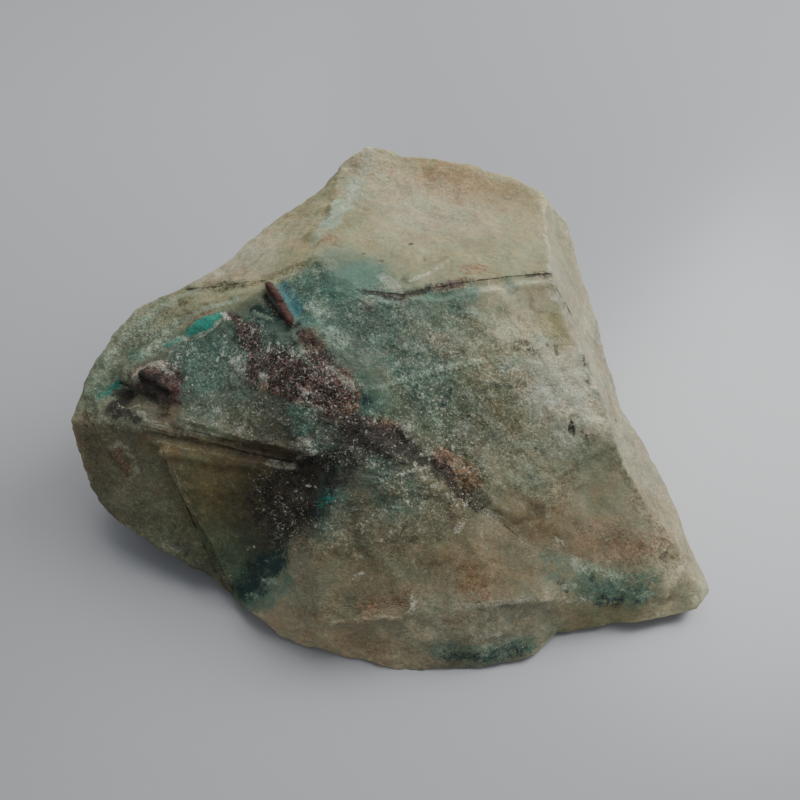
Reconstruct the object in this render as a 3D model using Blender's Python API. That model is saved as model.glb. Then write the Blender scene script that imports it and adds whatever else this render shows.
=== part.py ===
"""A raw chunk of chrysocolla in its pale host rock: one closed stone that rests on a flat break.

The stone is star shaped: one radius for every direction seen from its heart. A cage of named
corners gives its broken faces. Noise then makes the ridges waver and the faces uneven, and named
lines and spots add the ledge, crack, veins, lumps and hollows. The fine mesh is thinned out with a
Decimate modifier and cut off flat where it rests.

Lengths are in millimetres until the mesh is made. X runs to the right, Y to the back, Z up.
"""

import itertools

import bmesh
import bpy
import numpy as np

MM = 0.001  # one millimetre in metres

# Driving dimensions
HALF_SIZES = np.array([80.0, 65.0, 30.0])  # half the stone's length, depth and height
HEART = np.array([0.0, 0.0, 24.0])  # the point that every radius starts from
EDGE_ROUND = 1.0  # how far a broken edge is worn round
WEAR_STEPS = 12  # how many steps of that length a worn radius is the mean of
RIDGE_WANDER = ((11.0, 1.1), (4.5, 0.5))  # (length of a wave, how far it shifts a ridge)
SWELLS = ((24.0, 0.7), (9.0, 0.3))  # (length of a swell, its height)
PLATES = ((15.0, 0.5), (7.0, 0.3))  # (width of a broken plate, its height)
PLATE_CRISPNESS = 14.0  # how abruptly one plate gives way to the next
PLATE_SCATTER = 0.45  # how far a plate's middle strays from its cell's, in cells
ROUGH_SIDE = np.array([-0.35, 0.75, -0.55])  # the way that the roughest broken faces look
ROUGH_GAIN = 1.3  # how much deeper the relief is on that side
LINE_SLACK = 4.0  # how far above or below the surface a line or spot may lie

# Mesh
GRID_CUTS = 95  # cuts along each edge of the cube that becomes the stone
TARGET_TRIANGLES = 8600

# Corners of the broken faces, as (x, y, z) from the middle of the base
CORNERS = {
    # the pale top face and its rear edge
    "rear_left": (-35, 53, 49), "rear_peak": (-29.5, 61, 50.5), "rear_mid": (-5, 61.5, 50),
    "rear_step": (10, 64, 48), "rear_right": (21, 62, 46), "spur": (-32, 21, 55),
    "crest": (-32, 2, 58), "dish": (-8, 36, 50.5),
    "crack_left": (-14, -3, 57), "crack_mid": (4, 9, 56), "crack_right": (24, 20, 53),
    # the long ridge down to the right tip, and the pale strip outside it
    "ridge_1": (32, 9, 45), "ridge_2": (41, 0, 38), "ridge_3": (49, -11, 30),
    "ridge_4": (61, -20, 20), "tip_top": (73, -31, 12), "right_tip": (81.5, -30.5, 6),
    "strip_0": (30, 65.5, 36), "strip_1": (35.5, 51, 33), "strip_2": (41.5, 37, 30),
    "strip_3": (48, 24, 25), "strip_4": (54, 12, 20), "strip_5": (64, 0, 14), "strip_6": (73, -14.5, 9),
    # the brow at the bottom of the main face, and the hem near the table
    "brow_0": (-13, -63, 14), "brow_1": (4, -57, 14), "brow_2": (31, -48, 13), "brow_3": (54, -42, 11),
    "nose": (-27.5, -62.5, 7), "hem_0": (-21, -64, 2), "hem_1": (-8, -65, 1), "hem_2": (7, -65, 1),
    "hem_3": (24, -61, 1), "hem_4": (36, -56, 1), "hem_5": (44, -48, 2.5), "hem_6": (65, -41.5, 3),
    "hem_7": (78, -36, 4),
    # inside the main face
    "main_1": (4, -8, 44), "main_2": (33, -10, 36), "main_3": (16, -36, 24.5),
    "main_4": (-10, -51, 21.5), "main_5": (48, -26, 21), "junction": (-15, -28, 40.5),
    "dark_0": (-18, -32, 38), "dark_1": (-16, -42, 29.5), "dark_2": (-18, -54, 20.5),
    # the olive face, the gap beside it and the ledge above it
    "olive_left": (-56, -37, 31), "olive_right": (-21, -36, 33), "olive_side": (-25, -47.5, 18.5),
    "olive_edge_1": (-53, -42, 26), "olive_edge_2": (-45, -48, 17), "olive_foot": (-33.5, -59, 4),
    "gap_1": (-53.5, -40.5, 25), "gap_2": (-45.5, -45.5, 15.5),
    "ledge_left": (-60, -35, 33), "ledge_mid": (-41, -34.5, 35), "ledge_right": (-23.5, -35, 37),
    # the left top with its bright lens, shoulder and tip
    "patch": (-30, -17, 50.5), "lens_right": (-51, -8, 45), "lens_left": (-59, -13, 41),
    "lens_tail": (-64, -15, 38), "lip": (-69, -18, 36), "knob": (-62, -29, 35),
    "slope_low": (-64, 1, 42), "slope_mid": (-55, 12, 43), "slope_up": (-46, 31, 45),
    "slope_top": (-38.5, 42, 47), "slope_line": (-45, 1, 50),
    "shoulder_1": (-73, -5, 38), "shoulder_2": (-77, -12, 35), "shoulder_3": (-79, -24, 31),
    "left_tip": (-81, -33.5, 27),
    # the overhang at the lower left
    "under_0": (-78, -38.5, 22), "under_1": (-73.5, -44.5, 15), "under_2": (-65.5, -48.5, 12),
    "under_3": (-53.5, -52.5, 9), "under_4": (-38.5, -57, 5),
    # halfway down the left, rear and right flanks
    "flank_1": (-77, -22, 20), "flank_2": (-71, -2, 22), "flank_3": (-64, 14, 20),
    "flank_4": (-53, 34, 20), "flank_5": (-40, 55, 24), "flank_6": (-18, 66, 20),
    "flank_7": (8, 70, 22), "flank_8": (26, 68, 20), "flank_9": (40, 50, 12),
    "flank_10": (50, 33, 9), "flank_11": (60, 14, 7),
    # below the flat break, where the stone is cut off
    "root_1": (-20, -58, -6), "root_2": (5, -59, -6), "root_3": (34, -50, -6), "root_4": (46, -42, -6),
    "root_5": (66, -35, -6), "root_6": (76, -29, -6), "root_7": (66, -2, -6), "root_8": (50, 30, -6),
    "root_9": (36, 54, -6), "root_10": (20, 62, -6), "root_11": (-8, 60, -6), "root_12": (-34, 48, -6),
    "root_13": (-48, 26, -6), "root_14": (-58, 4, -6), "root_15": (-58, -20, -6),
    "root_16": (-46, -38, -6), "root_17": (-32, -50, -6), "bottom": (0, 0, -8),
}

PALE_RIM = (
    "rear_left rear_peak rear_mid rear_step rear_right crack_right crack_mid crack_left crest spur"
)
ROOT_RIM = " ".join(f"root_{number}" for number in range(1, 18))

# Triangles between the corners, one face of the stone after the other
FACES = {
    "main face": """
        crest crack_left patch, crack_left junction patch, crack_left main_1 junction,
        crack_left crack_mid main_1, crack_mid crack_right main_1, crack_right ridge_1 main_1,
        ridge_1 main_2 main_1, ridge_1 ridge_2 main_2, ridge_2 ridge_3 main_2, main_1 main_2 main_3,
        main_1 main_3 junction, main_2 ridge_3 main_5, ridge_3 ridge_4 main_5, ridge_4 tip_top main_5,
        main_2 main_5 main_3, main_5 tip_top brow_3, main_5 brow_3 brow_2, main_5 brow_2 main_3,
        main_3 brow_2 brow_1, main_3 brow_1 main_4, main_4 brow_1 brow_0, junction main_3 dark_0,
        main_3 dark_1 dark_0, main_3 main_4 dark_1, main_4 dark_2 dark_1, main_4 brow_0 dark_2,
        brow_0 nose dark_2""",
    "front band": """
        brow_0 brow_1 hem_1, brow_1 hem_2 hem_1, brow_1 hem_3 hem_2, brow_1 brow_2 hem_3,
        brow_2 hem_4 hem_3, brow_2 hem_5 hem_4, brow_2 brow_3 hem_5, brow_3 hem_6 hem_5,
        brow_3 tip_top hem_6, tip_top hem_7 hem_6, tip_top right_tip hem_7, nose brow_0 hem_0,
        brow_0 hem_1 hem_0, nose hem_0 olive_foot""",
    "right strip": """
        rear_right strip_0 strip_1, rear_right strip_1 crack_right, crack_right strip_1 strip_2,
        crack_right strip_2 ridge_1, ridge_1 strip_2 strip_3, ridge_1 strip_3 ridge_2,
        ridge_2 strip_3 strip_4, ridge_2 strip_4 ridge_3, ridge_3 strip_4 strip_5,
        ridge_3 strip_5 ridge_4, ridge_4 strip_5 strip_6, ridge_4 strip_6 tip_top,
        tip_top strip_6 right_tip, rear_step strip_0 rear_right""",
    "olive face": """
        olive_left olive_right olive_edge_1, olive_edge_1 olive_right olive_side,
        olive_edge_1 olive_side olive_edge_2, olive_edge_2 olive_side olive_foot,
        olive_right dark_1 olive_side, dark_1 dark_2 olive_side, olive_side dark_2 nose,
        olive_side nose olive_foot, olive_right dark_0 dark_1""",
    "ledge": """
        ledge_left ledge_mid olive_left, ledge_mid olive_right olive_left,
        ledge_mid ledge_right olive_right, ledge_right dark_0 olive_right""",
    "frosted face": """
        patch dark_0 ledge_right, patch junction dark_0, patch ledge_right ledge_mid,
        patch ledge_mid lens_right, lens_right ledge_mid lens_left, lens_left ledge_mid knob,
        ledge_mid ledge_left knob, lens_left knob lens_tail, lens_tail knob lip,
        crest patch lens_right, crest lens_right slope_line""",
    "shoulder": """
        slope_line lens_right lens_left, slope_line lens_left slope_low, slope_low lens_left lens_tail,
        slope_low lens_tail shoulder_1, lens_tail lip shoulder_1, lip shoulder_2 shoulder_1,
        lip shoulder_3 shoulder_2, lip knob shoulder_3, knob left_tip shoulder_3,
        knob ledge_left left_tip, ledge_left under_0 left_tip""",
    "rear slope": """
        crest slope_line spur, spur slope_line slope_mid, slope_line slope_low slope_mid,
        spur slope_mid slope_up, spur slope_up slope_top, spur slope_top rear_left""",
    "overhang": """
        ledge_left olive_left under_0, olive_left gap_1 under_0, under_0 gap_1 under_1,
        gap_1 under_2 under_1, gap_1 gap_2 under_2, gap_2 under_3 under_2, gap_2 under_4 under_3,
        gap_2 olive_foot under_4""",
    "edge of the olive face": """
        olive_left olive_edge_1 gap_1, olive_edge_1 olive_edge_2 gap_1, gap_1 olive_edge_2 gap_2,
        olive_edge_2 olive_foot gap_2""",
    "left flank": """
        left_tip under_0 flank_1, under_0 under_1 flank_1, left_tip flank_1 shoulder_3,
        shoulder_3 flank_1 shoulder_2, shoulder_2 flank_1 flank_2, shoulder_2 flank_2 shoulder_1,
        shoulder_1 flank_2 slope_low, slope_low flank_2 flank_3, slope_low flank_3 slope_mid,
        slope_mid flank_3 flank_4, slope_mid flank_4 slope_up, slope_up flank_4 flank_5,
        slope_up flank_5 slope_top, slope_top flank_5 rear_left""",
    "rear and right flanks": """
        rear_left flank_5 rear_peak, rear_peak flank_5 flank_6, rear_peak flank_6 rear_mid,
        rear_mid flank_6 flank_7, rear_mid flank_7 rear_step, rear_step flank_7 flank_8,
        rear_step flank_8 strip_0, strip_0 flank_8 flank_9, strip_0 flank_9 strip_1,
        strip_1 flank_9 flank_10, strip_1 flank_10 strip_2, strip_2 flank_10 strip_3,
        strip_3 flank_10 flank_11, strip_3 flank_11 strip_4, strip_4 flank_11 strip_5""",
    "foot": """
        hem_0 hem_1 root_1, hem_1 hem_2 root_2, hem_1 root_2 root_1, hem_2 hem_3 root_2,
        hem_3 root_3 root_2, hem_3 hem_4 root_3, hem_4 hem_5 root_3, hem_5 root_4 root_3,
        hem_5 hem_6 root_4, hem_6 root_5 root_4, hem_6 hem_7 root_5, hem_7 right_tip root_6,
        hem_7 root_6 root_5, right_tip strip_6 root_6, strip_6 root_7 root_6, strip_6 strip_5 root_7,
        strip_5 flank_11 root_7, flank_11 root_8 root_7, flank_11 flank_10 root_8,
        flank_10 flank_9 root_8, flank_9 root_9 root_8, flank_9 flank_8 root_9, flank_8 root_10 root_9,
        flank_8 flank_7 root_10, flank_7 root_11 root_10, flank_7 flank_6 root_11,
        flank_6 root_12 root_11, flank_6 flank_5 root_12, flank_5 flank_4 root_12,
        flank_4 root_13 root_12, flank_4 flank_3 root_13, flank_3 root_14 root_13,
        flank_3 flank_2 root_14, flank_2 flank_1 root_14, flank_1 root_15 root_14,
        flank_1 under_1 root_15, under_1 under_2 root_15, under_2 root_16 root_15,
        under_2 under_3 root_16, under_3 under_4 root_16, under_4 root_17 root_16,
        under_4 olive_foot root_17, olive_foot hem_0 root_17, hem_0 root_1 root_17""",
}

# Raised (+) or cut (-) lines on the faces: (height, reach, points)
LINES = {
    "crack": (-1.4, 1.8, ((-14, -3, 57), (-8, 1, 56.5), (-2, 4.5, 56), (7, 10, 55.5), (23, 20, 53))),
    "copper rod": (1.5, 1.9, ((-41, -2, 52), (-37.5, -6, 52), (-33.5, -11.5, 51.5))),
    "gap beside the rod": (-1.1, 1.8, ((-43.5, -4, 51), (-40, -8.5, 51), (-36, -13, 51))),
    "foot of the rear slope": (-0.9, 2.2, ((-32, 2, 58), (-45.5, 1, 50), (-59, 0, 44))),
    "lip behind the crack": (0.9, 2.4, ((-9.5, 5, 56), (-5.5, 10, 55), (-1.5, 16, 54.5))),
    "dark fissure": (-0.6, 1.9, ((-9, -27, 39), (2.5, -28.5, 33.5), (13, -31, 28.5), (23, -34, 23.5))),
    "bright lens": (0.8, 2.6, ((-60, -13.5, 41), (-51.5, -9, 45))),
    "gap beside the olive face": (-2.2, 2.6, ((-54, -41, 24), (-47, -47, 15), (-37, -57, 4))),
    "rim of the olive face": (1.0, 1.8, ((-55, -38.5, 30), (-41, -38, 31), (-24, -37, 32))),
    "groove under the ledge": (-1.1, 2.4, ((-58, -36, 32), (-40, -35.5, 33.5), (-24, -35.5, 35))),
    "brow ripple": (0.8, 2.2, ((-8, -61.5, 13), (4, -58, 13), (7, -55, 15), (2.5, -53.5, 17))),
    "slit": (-1.3, 1.6, ((35.5, -9, 35.5), (36.5, -12, 34))),
}

# Lumps (+) and hollows (-): (height, reach, centre)
SPOTS = {
    "knob": (2.6, 5.5, (-63, -22, 36)), "small knob": (2.0, 4.0, (-57, -26.5, 36.5)),
    "hollow": (-2.8, 3.4, (-69, -27.5, 33)), "hollow below the knob": (-1.6, 3.6, (-62, -30, 34)),
    "pale lump": (1.1, 4.2, (-23, -14, 51)), "lump by the crack": (0.9, 3.2, (-17.5, -5, 56)),
    "lump on the main face": (0.9, 3.0, (-2.5, -24, 38)), "crust": (1.2, 4.6, (-31.5, 27, 54)),
    "lower crust": (1.2, 4.0, (-34, 14.5, 55)), "chip on the ledge": (0.6, 2.4, (-24, -34, 37)),
    "pits": (-0.9, 2.6, (37, 3.5, 41)), "pit on the strip": (-0.8, 2.2, (49, -0.5, 28)),
}

STONE_COLOUR = (0.26, 0.30, 0.24, 1.0)
STONE_ROUGHNESS = 0.72

# Scattered numbers
LATTICE_FACTORS = np.array([374761393, 668265263, 1440662683])  # one for each axis
SEED_FACTOR = 1013904223
SECOND_FACTOR = 1274126177
LOW_31_BITS = 0x7FFFFFFF
LOW_16_BITS = 0xFFFF
SEEDS = {"wander": 11, "swell": 41, "plates": 71}
ROUNDING = 1e-9  # a share this little below nothing still counts as inside a triangle


def clear_scene():
    """Remove every object that the file opened with."""
    for thing in list(bpy.data.objects):
        bpy.data.objects.remove(thing, do_unlink=True)


def fan(centre, rim):
    """Triangles from one corner to each stretch of a closed rim."""
    names = rim.split()
    return [(centre, first, second) for first, second in zip(names, names[1:] + names[:1])]


def cage_triangles():
    """The cage as an array of triangles, each with its three corners as rows, from the heart."""
    named = [tuple(triple.split()) for text in FACES.values() for triple in text.split(",")]
    named += fan("dish", PALE_RIM) + fan("bottom", ROOT_RIM)
    return np.array([[CORNERS[name] for name in triple] for triple in named], float) - HEART


def unit(vectors):
    """The same vectors with length 1."""
    return vectors / np.linalg.norm(vectors, axis=1, keepdims=True)


def lattice(cells, seed):
    """Scattered numbers from -1 to 1, one for each whole-numbered cell, always the same."""
    mixed = ((cells * LATTICE_FACTORS).sum(axis=1) + seed * SEED_FACTOR) & LOW_31_BITS
    mixed = ((mixed ^ (mixed >> 13)) * SECOND_FACTOR) & LOW_31_BITS
    return 2 * ((mixed ^ (mixed >> 15)) & LOW_16_BITS) / LOW_16_BITS - 1


def smooth_noise(points, size, seed):
    """Noise between -1 and 1 that swells and sinks over lengths of size."""
    scaled = points / size
    cells = np.floor(scaled).astype(np.int64)
    part = scaled - cells
    fade = part * part * (3 - 2 * part)
    total = np.zeros(len(points))
    for corner in itertools.product((0, 1), repeat=3):
        share = np.where(corner, fade, 1 - fade).prod(axis=1)
        total += share * lattice(cells + corner, seed)
    return total


def broken_plates(points, size, seed):
    """Small tilted plates side by side: each point lies mostly on the plate whose middle is nearest."""
    scaled = points / size
    cells = np.floor(scaled).astype(np.int64)
    height = np.zeros(len(points))
    total_share = np.zeros(len(points))
    for step in itertools.product((-1, 0, 1), repeat=3):
        sites = cells + step
        scatter = np.stack([lattice(sites, seed + axis) for axis in range(3)], axis=1)
        slope = np.stack([lattice(sites, seed + 3 + axis) for axis in range(3)], axis=1)
        offset = scaled - (sites + 0.5 + PLATE_SCATTER * scatter)
        share = np.exp(-PLATE_CRISPNESS * (offset**2).sum(axis=1))
        height += share * (offset * slope).sum(axis=1)
        total_share += share
    return height / total_share


def radius_to_cage(directions, cage):
    """How far the cage lies from the heart along each direction."""
    radius = np.zeros(len(directions))
    for corners in cage:
        weights = directions @ np.linalg.inv(corners)
        inside = (weights >= -ROUNDING).all(axis=1)
        radius[inside] = 1 / weights[inside].sum(axis=1)
    return radius


def scattered_steps(count, length):
    """Steps of one length, spread evenly over all directions on a golden spiral."""
    height = 1 - (2 * np.arange(count) + 1) / count
    turn = np.arange(count) * np.pi * (3 - np.sqrt(5))
    level = np.sqrt(1 - height**2)
    return length * np.stack([level * np.cos(turn), level * np.sin(turn), height], axis=1)


def worn_radius(directions, cage):
    """The cage with wavering ridges and worn edges: a mean of radii a short step apart."""
    surface = directions * radius_to_cage(directions, cage)[:, None]
    wander = np.zeros_like(surface)
    for size, amount in RIDGE_WANDER:
        for axis in range(3):
            seed = SEEDS["wander"] + 3 * axis + round(size)
            wander[:, axis] += amount * smooth_noise(surface, size, seed)
    steps = scattered_steps(WEAR_STEPS, EDGE_ROUND)
    return sum(radius_to_cage(unit(surface + wander + step), cage) for step in steps) / len(steps)


def distance_to_line(surface, directions, line):
    """Distance along the surface to a line of points that lie near it."""
    nearest = np.full(len(surface), np.inf)
    for start, end in zip(line, line[1:]):
        stretch = end - start
        share = np.clip((surface - start) @ stretch / max(stretch @ stretch, ROUNDING), 0, 1)
        offset = surface - start - share[:, None] * stretch
        depth = (offset * directions).sum(axis=1)
        across = np.linalg.norm(offset - depth[:, None] * directions, axis=1)
        nearest = np.minimum(nearest, np.hypot(across, np.maximum(abs(depth) - LINE_SLACK, 0)))
    return nearest


def rounded_bump(distance, reach):
    """1 at no distance, falling smoothly to 0 at the reach and beyond."""
    return np.clip(1 - (distance / reach) ** 2, 0, 1) ** 2


def named_relief(surface, directions):
    """The lines and spots, in millimetres along the radius."""
    relief = np.zeros(len(surface))
    spots = [(height, reach, (centre, centre)) for height, reach, centre in SPOTS.values()]
    for height, reach, points in [*LINES.values(), *spots]:
        line = np.array(points, float) - HEART
        relief += height * rounded_bump(distance_to_line(surface, directions, line), reach)
    return relief


def uneven_relief(surface, directions):
    """Swells and broken plates, deeper on the rough side, in millimetres along the radius."""
    swells = sum(high * smooth_noise(surface, size, SEEDS["swell"]) for size, high in SWELLS)
    plates = sum(high * broken_plates(surface, size, SEEDS["plates"]) for size, high in PLATES)
    rough = 1 + ROUGH_GAIN * np.clip(directions @ ROUGH_SIDE, 0, 1)
    return (swells + plates) * rough


def stone_points(directions):
    """The finished surface point along each direction, in millimetres from the middle of the base."""
    radius = worn_radius(directions, cage_triangles())
    surface = directions * radius[:, None]
    radius = radius + uneven_relief(surface, directions) + named_relief(surface, directions)
    return directions * radius[:, None] + HEART


def make_fine_stone():
    """A cube cut into a fine grid, with each vertex moved out to the stone's surface."""
    grid = bmesh.new()
    bmesh.ops.create_cube(grid, size=2)
    bmesh.ops.subdivide_edges(grid, edges=grid.edges[:], cuts=GRID_CUTS, use_grid_fill=True)
    cube = np.array([vertex.co for vertex in grid.verts])
    directions = unit(unit(np.tan(cube * np.pi / 4)) * HALF_SIZES)
    for vertex, point in zip(grid.verts, stone_points(directions) * MM):
        vertex.co = point
    mesh = bpy.data.meshes.new("fine_stone")
    grid.to_mesh(mesh)
    grid.free()
    stone = bpy.data.objects.new("fine_stone", mesh)
    bpy.context.scene.collection.objects.link(stone)
    return stone


def thinned_mesh(stone):
    """The stone's mesh with about the target number of triangles, most of them where it bends."""
    thin = stone.modifiers.new("thin out", "DECIMATE")
    thin.ratio = TARGET_TRIANGLES / (2 * len(stone.data.polygons))
    thin.use_collapse_triangulate = True
    evaluated = stone.evaluated_get(bpy.context.evaluated_depsgraph_get())
    return bpy.data.meshes.new_from_object(evaluated)


def cut_flat(mesh):
    """Cut the mesh off at z = 0, close it there with a flat face, and centre it over the origin."""
    solid = bmesh.new()
    solid.from_mesh(mesh)
    everything = solid.verts[:] + solid.edges[:] + solid.faces[:]
    bmesh.ops.bisect_plane(
        solid, geom=everything, plane_co=(0, 0, 0), plane_no=(0, 0, 1), clear_inner=True
    )
    rim = [edge for edge in solid.edges if edge.is_boundary]
    sole = bmesh.ops.edgeloop_fill(solid, edges=rim)["faces"]
    for vertex in sole[0].verts:
        vertex.co.z = 0
    bmesh.ops.triangulate(solid, faces=sole)
    bmesh.ops.recalc_face_normals(solid, faces=solid.faces[:])
    places = np.array([vertex.co for vertex in solid.verts])
    middle = (places.min(axis=0) + places.max(axis=0)) / 2
    bmesh.ops.translate(solid, verts=solid.verts[:], vec=(-middle[0], -middle[1], 0))
    solid.to_mesh(mesh)
    solid.free()


def stone_material():
    """Dull grey-green stone."""
    material = bpy.data.materials.new("chrysocolla_rock")
    material.use_nodes = True
    shader = material.node_tree.nodes["Principled BSDF"]
    shader.inputs["Base Color"].default_value = STONE_COLOUR
    shader.inputs["Roughness"].default_value = STONE_ROUGHNESS
    shader.inputs["Metallic"].default_value = 0.0
    return material


def make_stone():
    """The one piece: the whole stone."""
    fine = make_fine_stone()
    mesh = thinned_mesh(fine)
    bpy.data.objects.remove(fine, do_unlink=True)
    mesh.name = "chrysocolla_stone"
    cut_flat(mesh)
    mesh.materials.clear()
    mesh.materials.append(stone_material())
    stone = bpy.data.objects.new("chrysocolla_stone", mesh)
    bpy.context.scene.collection.objects.link(stone)
    return stone


def main():
    clear_scene()
    make_stone()


main()
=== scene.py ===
"""The looks of a raw chunk of chrysocolla: its broken shape, its stains and a plain studio.

The stone is star shaped. A cage of named corners gives its broken faces, noise wears and roughens
them, and named lines and spots add the ledge, cracks, veins, lumps and hollows. Body tints and
mineral stains are laid on the surface at named places, and shader nodes give them their ragged
edges, sugary grain, speckles and bump.

What is laid at named places is written as marks: the reach, the amount, then the places, each x,y in
the view or x,y,z in the stone's own frame, with a bar between two marks.

Lengths are in millimetres until a mesh is made. X runs to the right, Y to the back, Z up.
"""

import itertools
import logging
import math
from collections.abc import Iterable
from dataclasses import dataclass, field
from enum import Enum

import bpy
import numpy as np
from mathutils import Matrix, Vector
from mathutils.bvhtree import BVHTree


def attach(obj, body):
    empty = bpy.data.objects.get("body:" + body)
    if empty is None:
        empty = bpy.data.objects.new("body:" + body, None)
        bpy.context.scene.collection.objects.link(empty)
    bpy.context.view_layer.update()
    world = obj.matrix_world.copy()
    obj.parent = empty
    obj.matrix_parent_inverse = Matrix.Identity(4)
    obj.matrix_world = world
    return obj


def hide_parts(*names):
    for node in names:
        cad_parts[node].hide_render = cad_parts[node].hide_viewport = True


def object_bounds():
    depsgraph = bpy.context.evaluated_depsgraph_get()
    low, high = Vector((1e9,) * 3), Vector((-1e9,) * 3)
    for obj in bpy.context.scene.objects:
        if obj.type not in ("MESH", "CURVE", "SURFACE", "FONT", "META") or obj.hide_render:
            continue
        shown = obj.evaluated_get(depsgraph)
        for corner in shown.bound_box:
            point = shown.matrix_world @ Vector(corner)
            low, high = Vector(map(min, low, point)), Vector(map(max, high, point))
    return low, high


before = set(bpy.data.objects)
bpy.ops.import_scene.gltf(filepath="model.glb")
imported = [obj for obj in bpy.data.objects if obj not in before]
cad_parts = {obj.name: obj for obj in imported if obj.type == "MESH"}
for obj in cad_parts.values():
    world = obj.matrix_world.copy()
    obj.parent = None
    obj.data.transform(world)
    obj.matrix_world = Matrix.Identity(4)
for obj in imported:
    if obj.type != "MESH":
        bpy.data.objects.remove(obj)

LOG = logging.getLogger("chrysocolla")
MM = 0.001  # one millimetre in metres
CAD_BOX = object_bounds()
CAD_NODE = "chrysocolla_stone"

Pixel = tuple[float, float]
Spot = tuple[float, ...]  # a pixel of the view, or a place in millimetres where the view can't reach
Triple = tuple[float, float, float]


# ---------------------------------------------------------------- small tools


def srgb(red: float, green: float, blue: float) -> Triple:
    """Linear light for a colour given as three display values from 0 to 255."""
    shown = np.array([red, green, blue]) / 255
    linear = np.where(shown <= 0.04045, shown / 12.92, ((shown + 0.055) / 1.055) ** 2.4)
    return tuple(float(value) for value in linear)


def unit(vectors: np.ndarray) -> np.ndarray:
    """The same vectors with length 1."""
    return vectors / np.linalg.norm(vectors, axis=-1, keepdims=True)


def read_spots(words: Iterable[str]) -> tuple[Spot, ...]:
    """Places from words such as 120,80 or 12,-3.5,40."""
    return tuple(tuple(float(number) for number in word.split(",")) for word in words)


@dataclass(frozen=True)
class Mark:
    """Something laid along a line of places: how far it reaches, and how much of it there is."""

    reach: float
    amount: float
    line: tuple[Spot, ...]

    @classmethod
    def read(cls, text: str) -> "Mark":
        """One mark from its text."""
        reach, amount, *words = text.split()
        return cls(float(reach), float(amount), read_spots(words))

    @classmethod
    def read_all(cls, text: str) -> list["Mark"]:
        """The marks of a text, in their order."""
        return [cls.read(entry) for entry in text.split("|")]


class Noise:
    """Noise worked out from whole-numbered cells, always the same for the same seed."""

    FACTORS = np.array([374761393, 668265263, 1440662683])
    SEED_FACTOR = 1013904223
    SECOND_FACTOR = 1274126177
    MASK = 0x7FFFFFFF
    HALF_RANGE = 32767.5
    SCATTER = 0.45

    @classmethod
    def lattice(cls, cells: np.ndarray, seed: int) -> np.ndarray:
        """Scattered numbers from -1 to 1.

        Args:
            cells: whole-numbered places, one to a row.
            seed: which set of numbers to give.

        Returns:
            One number for each cell.
        """
        mixed = ((cells * cls.FACTORS).sum(axis=1) + seed * cls.SEED_FACTOR) & cls.MASK
        mixed = ((mixed ^ (mixed >> 13)) * cls.SECOND_FACTOR) & cls.MASK
        return ((mixed ^ (mixed >> 15)) & 0xFFFF) / cls.HALF_RANGE - 1

    @classmethod
    def smooth(cls, points: np.ndarray, size: float, seed: int) -> np.ndarray:
        """Swelling noise: the eight cell corners' numbers, blended by 3t^2 - 2t^3 along each axis.

        Args:
            points: places, one to a row.
            size: the length of a swell.
            seed: which noise.

        Returns:
            One number between -1 and 1 for each point.
        """
        scaled = points / size
        cells = np.floor(scaled).astype(np.int64)
        part = scaled - cells
        fade = part * part * (3 - 2 * part)
        total = np.zeros(len(points))
        for corner in itertools.product((0, 1), repeat=3):
            share = np.where(corner, fade, 1 - fade).prod(axis=1)
            total += share * cls.lattice(cells + corner, seed)
        return total

    @classmethod
    def plates(cls, points: np.ndarray, size: float, seed: int, crispness: float) -> np.ndarray:
        """Small tilted plates: each plate's tilt, weighted by exp(-crispness * distance^2).

        Args:
            points: places, one to a row.
            size: the width of a plate.
            seed: which plates.
            crispness: how abruptly one plate gives way to the next.

        Returns:
            The height at each point, about -1 to 1.
        """
        scaled = points / size
        cells = np.floor(scaled).astype(np.int64)
        height = np.zeros(len(points))
        total = np.zeros(len(points))
        for step in itertools.product((-1, 0, 1), repeat=3):
            sites = cells + step
            scatter = np.stack([cls.lattice(sites, seed + axis) for axis in range(3)], axis=1)
            slope = np.stack([cls.lattice(sites, seed + 3 + axis) for axis in range(3)], axis=1)
            offset = scaled - (sites + 0.5 + cls.SCATTER * scatter)
            share = np.exp(-crispness * (offset**2).sum(axis=1))
            height += share * (offset * slope).sum(axis=1)
            total += share
        return height / total


# ---------------------------------------------------------------- the view


@dataclass(frozen=True)
class View:
    """Where the camera stands and how it looks, for a picture 800 pixels square."""

    eye: Triple = (-6.4, -134.5, 186.0)
    down_deg: float = 52.0
    roll_deg: float = 12.0
    focal_px: float = 802.0
    side_px: float = 800.0
    sensor_mm: float = 36.0
    clip_start: float = 0.005

    def axes(self) -> np.ndarray:
        """The camera's right, up and forward, one to a row."""
        down, roll = np.radians([self.down_deg, self.roll_deg])
        level = np.array([1.0, 0.0, 0.0])
        rise = np.array([0.0, np.sin(down), np.cos(down)])
        right = np.cos(roll) * level + np.sin(roll) * rise
        up = -np.sin(roll) * level + np.cos(roll) * rise
        return np.stack([right, up, (0.0, np.cos(down), -np.sin(down))])

    def ray(self, pixel: Pixel) -> np.ndarray:
        """The way that the camera sees one pixel."""
        across = (pixel[0] - self.side_px / 2) / self.focal_px
        below = (pixel[1] - self.side_px / 2) / self.focal_px
        return unit(np.array([across, -below, 1.0]) @ self.axes())

    def make_camera(self) -> bpy.types.Object:
        """Create the scene's camera."""
        lens = bpy.data.cameras.new("view")
        lens.sensor_width = self.sensor_mm
        lens.lens = self.sensor_mm * self.focal_px / self.side_px
        lens.clip_start = self.clip_start
        camera = bpy.data.objects.new("view", lens)
        bpy.context.scene.collection.objects.link(camera)
        right, up, forward = self.axes()
        turned = Matrix((right, up, -forward)).transposed().to_4x4()
        turned.translation = Vector(self.eye) * MM
        camera.matrix_world = turned
        bpy.context.scene.camera = camera
        return camera


# ---------------------------------------------------------------- the shape


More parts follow.
